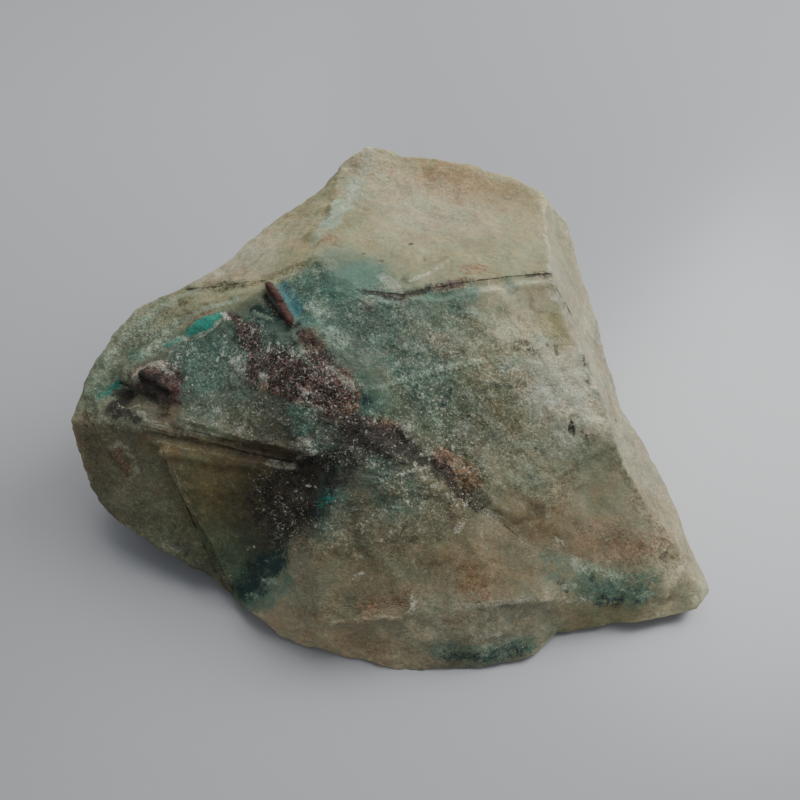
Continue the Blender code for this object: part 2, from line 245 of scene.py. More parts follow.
CORNERS: dict[str, Triple] = {
    # the pale top face and its rear edge
    "rear_left": (-35, 53, 49), "rear_peak": (-29.5, 61, 50.5), "rear_mid": (-5, 61.5, 50),
    "rear_step": (10, 64, 48), "rear_right": (21, 62, 46), "spur": (-32, 21, 55),
    "crest": (-32, 2, 58), "dish": (-8, 36, 50.5),
    "crack_left": (-14, -3, 57), "crack_mid": (4, 9, 56), "crack_right": (24, 20, 53),
    # the long ridge down to the right tip, and the pale strip outside it
    "ridge_1": (32, 9, 45), "ridge_2": (41, 0, 38), "ridge_3": (49, -11, 30),
    "ridge_4": (61, -20, 20), "tip_top": (73, -31, 12), "right_tip": (81.5, -30.5, 6),
    "strip_0": (30, 65.5, 36), "strip_1": (35.5, 51, 33), "strip_2": (41.5, 37, 30),
    "strip_3": (48, 24, 25), "strip_4": (54, 12, 20), "strip_5": (64, 0, 14), "strip_6": (73, -14.5, 9),
    # the brow at the bottom of the main face, and the hem near the table
    "brow_0": (-13, -63, 14), "brow_1": (4, -57, 14), "brow_2": (31, -48, 13), "brow_3": (54, -42, 11),
    "nose": (-27.5, -62.5, 7), "hem_0": (-21, -64, 2), "hem_1": (-8, -65, 1), "hem_2": (7, -65, 1),
    "hem_3": (24, -61, 1), "hem_4": (36, -56, 1), "hem_5": (44, -48, 2.5), "hem_6": (65, -41.5, 3),
    "hem_7": (78, -36, 4),
    # inside the main face
    "main_1": (4, -8, 44), "main_2": (33, -10, 36), "main_3": (16, -36, 24.5),
    "main_4": (-10, -51, 21.5), "main_5": (48, -26, 21), "junction": (-15, -28, 40.5),
    "dark_0": (-18, -32, 38), "dark_1": (-16, -42, 29.5), "dark_2": (-18, -54, 20.5),
    # the olive face, the gap beside it and the ledge above it
    "olive_left": (-56, -37, 31), "olive_right": (-21, -36, 33), "olive_side": (-25, -47.5, 18.5),
    "olive_edge_1": (-53, -42, 26), "olive_edge_2": (-45, -48, 17), "olive_foot": (-33.5, -59, 4),
    "gap_1": (-53.5, -40.5, 25), "gap_2": (-45.5, -45.5, 15.5),
    "ledge_left": (-60, -35, 33), "ledge_mid": (-41, -34.5, 35), "ledge_right": (-23.5, -35, 37),
    # the left top with its bright lens, shoulder and tip
    "patch": (-30, -17, 50.5), "lens_right": (-51, -8, 45), "lens_left": (-59, -13, 41),
    "lens_tail": (-64, -15, 38), "lip": (-69, -18, 36), "knob": (-62, -29, 35),
    "slope_low": (-64, 1, 42), "slope_mid": (-55, 12, 43), "slope_up": (-46, 31, 45),
    "slope_top": (-38.5, 42, 47), "slope_line": (-45, 1, 50),
    "shoulder_1": (-73, -5, 38), "shoulder_2": (-77, -12, 35), "shoulder_3": (-79, -24, 31),
    "left_tip": (-81, -33.5, 27),
    # the overhang at the lower left
    "under_0": (-78, -38.5, 22), "under_1": (-73.5, -44.5, 15), "under_2": (-65.5, -48.5, 12),
    "under_3": (-53.5, -52.5, 9), "under_4": (-38.5, -57, 5),
    # halfway down the left, rear and right flanks
    "flank_1": (-77, -22, 20), "flank_2": (-71, -2, 22), "flank_3": (-64, 14, 20),
    "flank_4": (-53, 34, 20), "flank_5": (-40, 55, 24), "flank_6": (-18, 66, 20),
    "flank_7": (8, 70, 22), "flank_8": (26, 68, 20), "flank_9": (40, 50, 12),
    "flank_10": (50, 33, 9), "flank_11": (60, 14, 7),
    # below the flat break, where the stone is cut off
    "root_1": (-20, -58, -6), "root_2": (5, -59, -6), "root_3": (34, -50, -6), "root_4": (46, -42, -6),
    "root_5": (66, -35, -6), "root_6": (76, -29, -6), "root_7": (66, -2, -6), "root_8": (50, 30, -6),
    "root_9": (36, 54, -6), "root_10": (20, 62, -6), "root_11": (-8, 60, -6), "root_12": (-34, 48, -6),
    "root_13": (-48, 26, -6), "root_14": (-58, 4, -6), "root_15": (-58, -20, -6),
    "root_16": (-46, -38, -6), "root_17": (-32, -50, -6), "bottom": (0, 0, -8),
}

PALE_RIM = "rear_left rear_peak rear_mid rear_step rear_right crack_right crack_mid crack_left crest spur"
ROOT_RIM = " ".join(f"root_{number}" for number in range(1, 18))

FACES: dict[str, str] = {
    "main face": """
        crest crack_left patch, crack_left junction patch, crack_left main_1 junction,
        crack_left crack_mid main_1, crack_mid crack_right main_1, crack_right ridge_1 main_1,
        ridge_1 main_2 main_1, ridge_1 ridge_2 main_2, ridge_2 ridge_3 main_2, main_1 main_2 main_3,
        main_1 main_3 junction, main_2 ridge_3 main_5, ridge_3 ridge_4 main_5, ridge_4 tip_top main_5,
        main_2 main_5 main_3, main_5 tip_top brow_3, main_5 brow_3 brow_2, main_5 brow_2 main_3,
        main_3 brow_2 brow_1, main_3 brow_1 main_4, main_4 brow_1 brow_0, junction main_3 dark_0,
        main_3 dark_1 dark_0, main_3 main_4 dark_1, main_4 dark_2 dark_1, main_4 brow_0 dark_2,
        brow_0 nose dark_2""",
    "front band": """
        brow_0 brow_1 hem_1, brow_1 hem_2 hem_1, brow_1 hem_3 hem_2, brow_1 brow_2 hem_3,
        brow_2 hem_4 hem_3, brow_2 hem_5 hem_4, brow_2 brow_3 hem_5, brow_3 hem_6 hem_5,
        brow_3 tip_top hem_6, tip_top hem_7 hem_6, tip_top right_tip hem_7, nose brow_0 hem_0,
        brow_0 hem_1 hem_0, nose hem_0 olive_foot""",
    "right strip": """
        rear_right strip_0 strip_1, rear_right strip_1 crack_right, crack_right strip_1 strip_2,
        crack_right strip_2 ridge_1, ridge_1 strip_2 strip_3, ridge_1 strip_3 ridge_2,
        ridge_2 strip_3 strip_4, ridge_2 strip_4 ridge_3, ridge_3 strip_4 strip_5,
        ridge_3 strip_5 ridge_4, ridge_4 strip_5 strip_6, ridge_4 strip_6 tip_top,
        tip_top strip_6 right_tip, rear_step strip_0 rear_right""",
    "olive face": """
        olive_left olive_right olive_edge_1, olive_edge_1 olive_right olive_side,
        olive_edge_1 olive_side olive_edge_2, olive_edge_2 olive_side olive_foot,
        olive_right dark_1 olive_side, dark_1 dark_2 olive_side, olive_side dark_2 nose,
        olive_side nose olive_foot, olive_right dark_0 dark_1""",
    "ledge": """
        ledge_left ledge_mid olive_left, ledge_mid olive_right olive_left,
        ledge_mid ledge_right olive_right, ledge_right dark_0 olive_right""",
    "frosted face": """
        patch dark_0 ledge_right, patch junction dark_0, patch ledge_right ledge_mid,
        patch ledge_mid lens_right, lens_right ledge_mid lens_left, lens_left ledge_mid knob,
        ledge_mid ledge_left knob, lens_left knob lens_tail, lens_tail knob lip,
        crest patch lens_right, crest lens_right slope_line""",
    "shoulder": """
        slope_line lens_right lens_left, slope_line lens_left slope_low, slope_low lens_left lens_tail,
        slope_low lens_tail shoulder_1, lens_tail lip shoulder_1, lip shoulder_2 shoulder_1,
        lip shoulder_3 shoulder_2, lip knob shoulder_3, knob left_tip shoulder_3,
        knob ledge_left left_tip, ledge_left under_0 left_tip""",
    "rear slope": """
        crest slope_line spur, spur slope_line slope_mid, slope_line slope_low slope_mid,
        spur slope_mid slope_up, spur slope_up slope_top, spur slope_top rear_left""",
    "overhang": """
        ledge_left olive_left under_0, olive_left gap_1 under_0, under_0 gap_1 under_1,
        gap_1 under_2 under_1, gap_1 gap_2 under_2, gap_2 under_3 under_2, gap_2 under_4 under_3,
        gap_2 olive_foot under_4""",
    "edge of the olive face": """
        olive_left olive_edge_1 gap_1, olive_edge_1 olive_edge_2 gap_1, gap_1 olive_edge_2 gap_2,
        olive_edge_2 olive_foot gap_2""",
    "left flank": """
        left_tip under_0 flank_1, under_0 under_1 flank_1, left_tip flank_1 shoulder_3,
        shoulder_3 flank_1 shoulder_2, shoulder_2 flank_1 flank_2, shoulder_2 flank_2 shoulder_1,
        shoulder_1 flank_2 slope_low, slope_low flank_2 flank_3, slope_low flank_3 slope_mid,
        slope_mid flank_3 flank_4, slope_mid flank_4 slope_up, slope_up flank_4 flank_5,
        slope_up flank_5 slope_top, slope_top flank_5 rear_left""",
    "rear and right flanks": """
        rear_left flank_5 rear_peak, rear_peak flank_5 flank_6, rear_peak flank_6 rear_mid,
        rear_mid flank_6 flank_7, rear_mid flank_7 rear_step, rear_step flank_7 flank_8,
        rear_step flank_8 strip_0, strip_0 flank_8 flank_9, strip_0 flank_9 strip_1,
        strip_1 flank_9 flank_10, strip_1 flank_10 strip_2, strip_2 flank_10 strip_3,
        strip_3 flank_10 flank_11, strip_3 flank_11 strip_4, strip_4 flank_11 strip_5""",
    "foot": """
        hem_0 hem_1 root_1, hem_1 hem_2 root_2, hem_1 root_2 root_1, hem_2 hem_3 root_2,
        hem_3 root_3 root_2, hem_3 hem_4 root_3, hem_4 hem_5 root_3, hem_5 root_4 root_3,
        hem_5 hem_6 root_4, hem_6 root_5 root_4, hem_6 hem_7 root_5, hem_7 right_tip root_6,
        hem_7 root_6 root_5, right_tip strip_6 root_6, strip_6 root_7 root_6, strip_6 strip_5 root_7,
        strip_5 flank_11 root_7, flank_11 root_8 root_7, flank_11 flank_10 root_8,
        flank_10 flank_9 root_8, flank_9 root_9 root_8, flank_9 flank_8 root_9, flank_8 root_10 root_9,
        flank_8 flank_7 root_10, flank_7 root_11 root_10, flank_7 flank_6 root_11,
        flank_6 root_12 root_11, flank_6 flank_5 root_12, flank_5 flank_4 root_12,
        flank_4 root_13 root_12, flank_4 flank_3 root_13, flank_3 root_14 root_13,
        flank_3 flank_2 root_14, flank_2 flank_1 root_14, flank_1 root_15 root_14,
        flank_1 under_1 root_15, under_1 under_2 root_15, under_2 root_16 root_15,
        under_2 under_3 root_16, under_3 under_4 root_16, under_4 root_17 root_16,
        under_4 olive_foot root_17, olive_foot hem_0 root_17, hem_0 root_1 root_17""",
}


# Grooves (-), ridges (+), lumps and pits, placed in the stone's own frame
RELIEF: dict[str, str] = {
    "crack": "1.8 -1.4 -14,-3,57 -8,1,56.5 -2,4.5,56 7,10,55.5 23,20,53",
    "copper rod": "1.7 1.5 -41,-2,52 -37.5,-6,52 -33.5,-11.5,51.5",
    "gap beside the rod": "1.8 -1.1 -43.5,-4,51 -40,-8.5,51 -36,-13,51",
    "foot of the rear slope": "2.2 -0.9 -32,2,58 -45.5,1,50 -59,0,44",
    "lip behind the crack": "2.4 0.9 -9.5,5,56 -5.5,10,55 -1.5,16,54.5",
    "dark fissure": "1.9 -0.6 -9,-27,39 2.5,-28.5,33.5 13,-31,28.5 23,-34,23.5",
    "bright lens": "2.6 0.8 -60,-13.5,41 -51.5,-9,45",
    "gap beside the olive face": "2.6 -2.2 -54,-41,24 -47,-47,15 -37,-57,4",
    "rim of the olive face": "1.8 1 -55,-38.5,30 -41,-38,31 -24,-37,32",
    "groove under the ledge": "2.4 -1.1 -58,-36,32 -40,-35.5,33.5 -24,-35.5,35",
    "brow ripple": "2.2 0.8 -8,-61.5,13 4,-58,13 7,-55,15 2.5,-53.5,17",
    "slit": "1.6 -1.3 35.5,-9,35.5 36.5,-12,34", "knob": "5.5 2.6 -63,-22,36",
    "small knob": "4 2 -57,-26.5,36.5", "hollow": "3.4 -2.8 -69,-27.5,33",
    "hollow below the knob": "3.6 -1.6 -62,-30,34", "pale lump": "4.2 1.1 -23,-14,51",
    "lump by the crack": "3.2 0.9 -17.5,-5,56", "lump on the main face": "3 0.9 -2.5,-24,38",
    "crust": "4.6 1.2 -31.5,27,54", "lower crust": "4 1.2 -34,14.5,55",
    "chip on the ledge": "2.4 0.6 -24,-34,37", "pits": "2.6 -0.9 37,3.5,41",
    "pit on the strip": "2.2 -0.8 49,-0.5,28",
}

# Finer ones, placed in the view
FINE_RELIEF: dict[str, str] = {
    "lip of the ledge": "1.3 0.75 182,417 215,427 255,439 300,449 316,455",
    "upper groove of the ledge": "0.9 -0.6 152,424 200,435 250,447 305,458",
    "rib of the ledge": "0.8 0.45 150,430 202,440 252,451 300,461",
    "lower groove of the ledge": "0.9 -0.6 158,436 204,446 252,456 296,464",
    "rim of the olive face": "0.9 0.5 162,441 200,451 250,460 288,468 314,468",
    "step on the main face": "1.2 0.35 480,362 440,371 400,382 372,389",
    "thin fissure": "0.7 -0.45 465,490 480,508 500,522 530,545",
    "lip of the brow": "1.3 0.6 290,629 330,623 375,617 400,618 413,605 411,595",
    "hollow over the brow": "2.2 -0.6 350,606 380,604 400,606",
    "long line of the front": "1 0.4 440,605 483,603 520,600 560,590 585,572",
    "first arc of the top": "1.8 -0.35 368,203 400,211 440,219 480,224",
    "second arc of the top": "1.6 0.3 372,222 400,232 430,236 470,238",
    "scar under the lens": "1.2 -0.4 232,330 236,350 246,375",
    "streak of the shoulder": "0.9 0.4 130,330 165,318 205,303 250,292",
    "second streak": "0.9 -0.4 110,372 140,345 180,325 220,308",
    "third streak": "0.8 0.35 100,365 125,335 155,308 190,296", "head of the knob": "2.6 2 151,374",
    "side of the knob": "2.5 2 168,384", "heel of the knob": "2 1.3 179,397",
    "cup in the knob": "2 -2 160,393", "dark hollow": "2.2 -2.2 122,394",
    "second hollow": "1.9 -1.3 139,402", "rim of the hollow": "1.5 0.8 112,405",
    "grey tongue": "1.9 1.1 147,406", "tip of the grey tongue": "1.6 0.8 153,415",
    "pale step": "1.5 0.9 307,443", "pale step below": "1.3 0.7 304,460", "flake": "1.5 0.5 409,430",
    "flake beside it": "1.4 0.4 428,453", "head of the rod": "1.3 0.9 271,286",
    "joint of the rod": "0.9 -0.5 279,301", "knuckle of the rod": "1 0.45 274,293",
    "second joint of the rod": "0.8 -0.5 285,310", "nick in the rod": "0.6 -0.4 276,290",
    "side of the rod": "0.7 0.45 283,301", "other side of the rod": "0.7 0.4 274,300",
    "foot of the rod": "1.2 0.4 287,313", "crystal": "1.2 0.6 263,377",
    "pit by the slit": "1.2 -0.6 572,431", "first pit": "0.9 -0.5 583,360",
    "second pit": "0.9 -0.5 589,375", "third pit": "0.9 -0.5 525,345", "fourth pit": "0.8 -0.5 548,346",
    "first front lump": "2.6 0.8 312,622", "second front lump": "2.2 0.5 332,626",
}


@dataclass
class Cage:
    """The broken faces as triangles around the heart."""

    heart: np.ndarray
    inverses: np.ndarray = field(init=False)
    rows_at_once: int = 6000

    def __post_init__(self) -> None:
        """Gather the triangles and invert each one's three corners."""
        named = [tuple(triple.split()) for text in FACES.values() for triple in text.split(",")]
        named += self.fan("dish", PALE_RIM) + self.fan("bottom", ROOT_RIM)
        corners = np.array([[CORNERS[name] for name in triple] for triple in named], float)
        self.inverses = np.linalg.inv(corners - self.heart)

    @staticmethod
    def fan(centre: str, rim: str) -> list[tuple[str, str, str]]:
        """Triangles from one corner to each stretch of a closed rim."""
        names = rim.split()
        return [(centre, first, second) for first, second in zip(names, names[1:] + names[:1])]

    def radius(self, directions: np.ndarray) -> np.ndarray:
        """How far the cage lies from the heart along each direction.

        A direction d is w1 A + w2 B + w3 C for each triangle's corners. It meets the triangle where
        no w is negative, at 1 / (w1 + w2 + w3).

        Args:
            directions: unit vectors, one to a row.

        Returns:
            One length for each direction.
        """
        columns = self.inverses.transpose(1, 0, 2).reshape(3, -1)
        lengths = []
        for start in range(0, len(directions), self.rows_at_once):
            some = directions[start : start + self.rows_at_once]
            weights = (some @ columns).reshape(len(some), -1, 3)
            chosen = weights.min(axis=2).argmax(axis=1)
            lengths.append(1 / weights[np.arange(len(some)), chosen].sum(axis=1))
        return np.concatenate(lengths)


SHORTEST = 1e-9  # a squared length that stands in for none, to divide by


def distance_to_line(
    points: np.ndarray, line: np.ndarray, directions: np.ndarray | None = None, slack: float = 0.0
) -> np.ndarray:
    """Distance from each point to the nearest stretch of a line.

    Where directions are given, the part of the offset along them counts only beyond the slack.

    Args:
        points: places, one to a row.
        line: the line's points, one to a row; one point alone is a spot.
        directions: the unit vector outwards at each point, or None for plain distance.
        slack: how far along its direction a point may lie from the line for nothing.

    Returns:
        One distance for each point.
    """
    nearest = np.full(len(points), np.inf)
    for start, end in zip(line, [*line[1:], line[-1]]):
        stretch = end - start
        share = np.clip((points - start) @ stretch / max(stretch @ stretch, SHORTEST), 0, 1)
        offset = points - start - share[:, None] * stretch
        if directions is None:
            nearest = np.minimum(nearest, np.linalg.norm(offset, axis=1))
            continue
        depth = (offset * directions).sum(axis=1)
        across = np.linalg.norm(offset - depth[:, None] * directions, axis=1)
        nearest = np.minimum(nearest, np.hypot(across, np.maximum(abs(depth) - slack, 0)))
    return nearest


def rounded_bump(distance: np.ndarray, reach: float) -> np.ndarray:
    """(1 - (distance / reach)^2)^2: 1 at no distance, 0 at the reach and beyond."""
    return np.clip(1 - (distance / reach) ** 2, 0, 1) ** 2


@dataclass
class StoneForm:
    """The stone's radius for every direction from its heart."""

    heart: np.ndarray = field(default_factory=lambda: np.array([0.0, 0.0, 24.0]))
    stretch: tuple[float, float, float] = (80.0, 65.0, 52.0)
    cells_per_side: int = 128
    lift: tuple[float, float, float] = (-10.0, -18.0, 27.0)
    edge_round: float = 0.5
    edge_steps: int = 12
    ridge_wander: tuple[tuple[float, float], ...] = ((11.0, 1.1), (4.5, 0.5), (2.1, 0.22))
    swells: tuple[tuple[float, float], ...] = ((24.0, 0.7), (9.0, 0.3))
    plates: tuple[tuple[float, float], ...] = ((15.0, 0.5), (7.0, 0.3))
    plate_crispness: float = 14.0
    chips: tuple[tuple[float, float, float], ...] = ((5.5, 0.20, 40.0), (2.4, 0.10, 30.0))
    sugar: float = 0.05
    sugar_size: float = 1.3
    rough_side: tuple[float, float, float] = (-0.35, 0.75, -0.55)
    rough_gain: float = 1.3
    rough_chips: float = 3.0
    line_slack: float = 4.0
    wander_seed: int = 11
    swell_seed: int = 41
    plate_seed: int = 71
    chip_seed: int = 131
    pits: tuple[tuple[float, float], ...] = ((2.8, 0.40), (1.5, 0.28))
    pit_seed: int = 171

    def cube_grid(self) -> tuple[np.ndarray, np.ndarray]:
        """A cube's surface as a closed grid of squares.

        Each side is a square of whole-numbered places in two parameters. Places shared by two sides
        are made one.

        Returns:
            The places from -1 to 1, one to a row, and the squares' four corners, outwards.
        """
        count = self.cells_per_side
        first, second = np.meshgrid(np.arange(count + 1), np.arange(count + 1), indexing="ij")
        first, second = first.ravel(), second.ravel()
        low, high = np.zeros_like(first), np.full_like(first, count)
        sides = [
            (high, first, second), (low, second, first), (second, high, first),
            (first, low, second), (first, second, high), (second, first, low),
        ]
        corner = (np.arange(count)[:, None] * (count + 1) + np.arange(count)).ravel()
        square = np.stack([corner, corner + count + 1, corner + count + 2, corner + 1], axis=1)
        places = np.concatenate([np.stack(side, axis=1) for side in sides])
        squares = np.concatenate([square + number * len(first) for number in range(len(sides))])
        merged, index = np.unique(places, axis=0, return_inverse=True)
        return merged * (2 / count) - 1, index.ravel()[squares]

    def directions(self, cube: np.ndarray) -> np.ndarray:
        """Unit vectors from the heart: the cube's places pushed out to a stretched, lifted ball.

        The lift draws the grid together on the top and the front, where the stone has most detail.
        """
        return unit(unit(np.tan(cube * np.pi / 4)) * self.stretch + self.lift)

    def scattered_steps(self) -> np.ndarray:
        """Steps as long as the edge rounding, spread evenly over a golden spiral."""
        turn = np.arange(self.edge_steps)
        height = 1 - (2 * turn + 1) / self.edge_steps
        angle = turn * np.pi * (3 - np.sqrt(5))
        level = np.sqrt(1 - height**2)
        return self.edge_round * np.stack([level * np.cos(angle), level * np.sin(angle), height], axis=1)

    def worn_radius(self, directions: np.ndarray) -> np.ndarray:
        """The cage with wavering ridges and worn edges: a mean of radii a short step apart."""
        cage = Cage(self.heart)
        surface = directions * cage.radius(directions)[:, None]
        wander = np.zeros_like(surface)
        for size, amount in self.ridge_wander:
            for axis in range(3):
                seed = self.wander_seed + 3 * axis + round(size)
                wander[:, axis] += amount * Noise.smooth(surface, size, seed)
        steps = self.scattered_steps()
        return sum(cage.radius(unit(surface + wander + step)) for step in steps) / len(steps)

    def named_relief(self, surface: np.ndarray, directions: np.ndarray) -> np.ndarray:
        """The lines and spots along the radius, each a rounded bump across its reach."""
        relief = np.zeros(len(surface))
        for mark in map(Mark.read, RELIEF.values()):
            places = np.array(mark.line) - self.heart
            away = distance_to_line(surface, places, directions, self.line_slack)
            relief += mark.amount * rounded_bump(away, mark.reach)
        return relief

    def uneven_relief(self, surface: np.ndarray, directions: np.ndarray) -> np.ndarray:
        """Swells and broken plates along the radius, deeper on the rough side."""
        swells = sum(high * Noise.smooth(surface, size, self.swell_seed) for size, high in self.swells)
        plates = sum(
            high * Noise.plates(surface, size, self.plate_seed, self.plate_crispness)
            for size, high in self.plates
        )
        rough = 1 + self.rough_gain * np.clip(directions @ np.array(self.rough_side), 0, 1)
        return (swells + plates) * rough

    def fine_relief(
        self, surface: np.ndarray, directions: np.ndarray, crumbled: np.ndarray, porous: np.ndarray
    ) -> np.ndarray:
        """Small chips and sugary grain along the radius, and pits where the rock is porous.

        Args:
            surface: the worn surface, one place to a row.
            directions: the unit vector outwards at each place.
            crumbled: how much deeper than usual the chips are at each place, 0 for no deeper.
            porous: how deep the pits are, from 0 to 1.

        Returns:
            One height for each place.
        """
        chips = sum(
            high * Noise.plates(surface, size, self.chip_seed + round(size), crispness)
            for size, high, crispness in self.chips
        )
        chips *= 1 + crumbled + self.rough_chips * np.clip(directions @ np.array(self.rough_side), 0, 1)
        sugar = self.sugar * Noise.smooth(surface, self.sugar_size, self.chip_seed)
        pits = sum(
            high * Noise.smooth(surface, size, self.pit_seed + round(size)) for size, high in self.pits
        )
        return chips + sugar + pits * porous


# ---------------------------------------------------------------- the colours


class Tint(Enum):
    """The body colours of the rock, as display values from 0 to 255."""

    CREAM = (166, 160, 136)
    BEIGE = (156, 148, 120)
    STRAW = (142, 136, 102)
    BUFF = (136, 117, 84)
    BONE = (152, 146, 124)
    PALE_SAGE = (160, 156, 128)
    SAGE = (128, 126, 95)
    GREY_GREEN = (116, 120, 99)
    TEAL_GREY = (98, 111, 97)
    SEA = (70, 102, 88)
    FROST = (64, 84, 75)
    FERN = (72, 84, 66)
    DRAB = (106, 106, 86)
    MOSS = (118, 114, 90)
    EARTH = (98, 92, 70)
    CLAY = (116, 103, 80)
    TAN = (160, 146, 118)
    PUTTY = (124, 120, 100)
    DIM = (84, 82, 66)
    SHADE = (60, 64, 54)
    PINE = (66, 83, 65)
    OLIVE = (98, 90, 56)
    UMBER = (56, 44, 33)
    BARK = (116, 99, 74)
    ASH = (160, 160, 142)
    SOOT = (38, 31, 24)
    LAGOON = (54, 76, 60)
    LICHEN = (122, 142, 122)


# By area: each tint's name, its reach and its places
BODY_TINTS: dict[str, str] = {
    "the pale top face": """
        BEIGE 11 430,215 385,190 475,222 400,230 | CREAM 6 405,215 435,218 |
        BUFF 9 455,178 480,188 500,196 425,168 | STRAW 8 505,182 510,225 385,242 405,156 530,200 |
        SAGE 10 350,225 430,260 470,256 510,256 370,230 395,256 | MOSS 5 350,165 344,180""",
    "the strip outside the long ridge": """
        BONE 20 575,285 600,350 630,440 655,500 | BEIGE 12 558,232 | TAN 10 668,525 | MOSS 5 664,522 |
        SAGE 7 672,535 566,262""",
    "the main face, from its upper edge down": """
        GREY_GREEN 4 328,267 | SEA 8 365,270 330,290 448,300 | FROST 8 355,276 |
        TEAL_GREY 9 345,305 400,330 420,345 380,350 330,330 |
        PALE_SAGE 8 500,312 520,300 535,290 480,330 505,345 |
        GREY_GREEN 8 450,325 470,350 430,365 400,372 | STRAW 6 558,330 545,318 |
        ASH 9 560,378 548,395 582,385 | CREAM 6 590,400 565,350 602,420 |
        FERN 7 450,392 470,385 490,385 440,420 375,395 |
        PINE 4 398,396 418,390 436,384 455,378 405,408 | TEAL_GREY 5 400,372 425,362 445,356 |
        SAGE 5 470,369 485,372 | DRAB 9 500,410 520,430 480,440 515,460 550,425 |
        GREY_GREEN 8 540,460 585,450 510,480 | EARTH 7 350,612 320,605 380,600 |
        MOSS 9 600,480 560,480 620,500 600,520 490,500 | SHADE 8 320,440 375,440 330,500 350,425 |
        UMBER 5 345,468 | DIM 8 400,475 355,510 390,462 | DRAB 8 385,495 400,505 |
        EARTH 9 430,530 370,540 430,500 330,560 400,570 | LAGOON 4.5 592,590 612,598 640,588 |
        CLAY 9 490,560 620,545 560,530 | EARTH 6 525,510 | MOSS 7 450,560 520,560 | BUFF 5 480,573 |
        PUTTY 7 300,595 285,600 310,575 | BEIGE 8 684,588 672,560""",
    # painted light: the front band's tints are made lighter to stand in for the light that falls on the
    # front
    "the front band": """
        TAN 9 325,638 350,645 385,645 300,628 | PUTTY 9 430,635 480,625 445,620 | PUTTY 8 520,638 |
        BONE 8 542,619 | STRAW 9 590,614 | FERN 4 460,656 520,648 | TEAL_GREY 4 495,656""",
    # the dim line from 172,468 to 226,580 is painted shadow in the gap beside the olive face
    "the olive face": """
        OLIVE 10 200,475 212,500 225,475 212,520 | PINE 7 225,540 235,555 250,545 215,545 |
        UMBER 8 256,480 244,502 246,474 256,530 | SOOT 7 285,480 290,505 278,530 300,485 |
        LAGOON 4 262,568 250,582 275,560 | DIM 3.5 172,468 187,495 201,525 213,552 226,580""",
    # the umber at 122,394 and 114,410 is painted shade in the knob's hollows
    "the frosted face and the ledge": """
        FROST 10 212,350 190,360 235,345 200,345 | TEAL_GREY 9 200,390 215,395 235,395 195,400 |
        DIM 8 225,415 250,425 200,420 | SHADE 8 285,420 270,410 310,430 |
        BARK 4 172,432 200,440 235,449 275,456 | PUTTY 2.4 144,403 149,412 |
        UMBER 5 142,380 150,372 150,378 160,392 168,388 172,378 168,410 122,394 114,410""",
    "the shoulder and the rear slope": """
        STRAW 6 200,300 235,287 220,300 180,312 | GREY_GREEN 8 150,335 120,365 135,340 160,318 |
        GREY_GREEN 7 110,375 | LICHEN 7 100,388 92,398 | STRAW 12 300,225 330,205 310,235 |
        CREAM 9 240,255 225,265 260,250 | BARK 6 85,420 80,410 95,430 | BARK 4 116,454 127,468""",
    # the dim at 190,560 and 200,572 is painted shade in the overhang's gap
    "the overhang": """
        DIM 12 120,440 | EARTH 12 108,462 | DRAB 10 132,492 150,476 | DRAB 8 160,535 170,520 |
        DIM 6 190,560 200,572""",
    "the sides that the view doesn't show": """
        SAGE 18 -55,34,20 | GREY_GREEN 16 -72,-2,22 | BEIGE 18 -40,55,24 | BUFF 16 -18,66,20 |
        BEIGE 18 8,70,22 | BONE 18 26,68,20 | BEIGE 18 40,50,12 | SAGE 16 50,33,9 | BEIGE 16 60,14,7 |
        SAGE 22 0,0,0 | DIM 14 -77,-22,20 | GREY_GREEN 14 -64,14,12 | MOSS 14 -30,55,6 |
        SAGE 14 15,66,6""",
}


class Mineral(Enum):
    """What stains the rock, from the undermost layer to the topmost."""

    TEAL = "teal"
    DEEP_TEAL = "deep_teal"
    OLIVE = "olive"
    RUST = "rust"
    OCHRE = "ochre"
    BROWN = "brown"
    # mostly a dark crust; some of its marks are painted shade in hollows, beside the copper rod and on
    # the overhang
    DARK = "dark"
    MINT = "mint"
    CHALK = "chalk"
    AZURE = "azure"
    TURQUOISE = "turquoise"
    COPPER = "copper"
    WHITE = "white"


@dataclass(frozen=True)
class MineralLook:
    """How one mineral's stain looks: colour, how fully it covers, and how ragged it is."""

    colour: Triple
    cover: float
    size: float
    ragged: float
    soft: float
    grainy: bool = False


MINERAL_LOOKS: dict[Mineral, MineralLook] = {
    Mineral.TEAL: MineralLook((67, 104, 90), 0.60, 4.0, 1.0, 0.45),
    Mineral.DEEP_TEAL: MineralLook((10, 42, 42), 0.90, 2.6, 0.9, 0.40),
    Mineral.OLIVE: MineralLook((116, 106, 58), 0.5, 3.5, 0.8, 0.45),
    Mineral.RUST: MineralLook((112, 74, 54), 0.6, 1.8, 1.1, 0.40, True),
    Mineral.OCHRE: MineralLook((112, 88, 56), 0.5, 3.0, 1.0, 0.45),
    Mineral.BROWN: MineralLook((68, 51, 45), 0.92, 2.0, 1.0, 0.30, True),
    Mineral.DARK: MineralLook((29, 24, 20), 0.88, 2.2, 0.9, 0.42, True),
    Mineral.MINT: MineralLook((142, 164, 142), 0.6, 1.4, 1.1, 0.35),
    Mineral.CHALK: MineralLook((158, 158, 142), 0.55, 2.0, 1.1, 0.40),
    Mineral.AZURE: MineralLook((46, 100, 106), 0.75, 1.6, 0.9, 0.35),
    Mineral.TURQUOISE: MineralLook((30, 128, 110), 0.9, 1.2, 0.7, 0.25),
    Mineral.COPPER: MineralLook((64, 27, 22), 0.95, 1.0, 0.5, 0.20),
    Mineral.WHITE: MineralLook((188, 186, 170), 0.7, 0.9, 1.0, 0.35),
}

DARK_CRUSTS = (Mineral.BROWN, Mineral.DARK)  # the stains that no haze covers

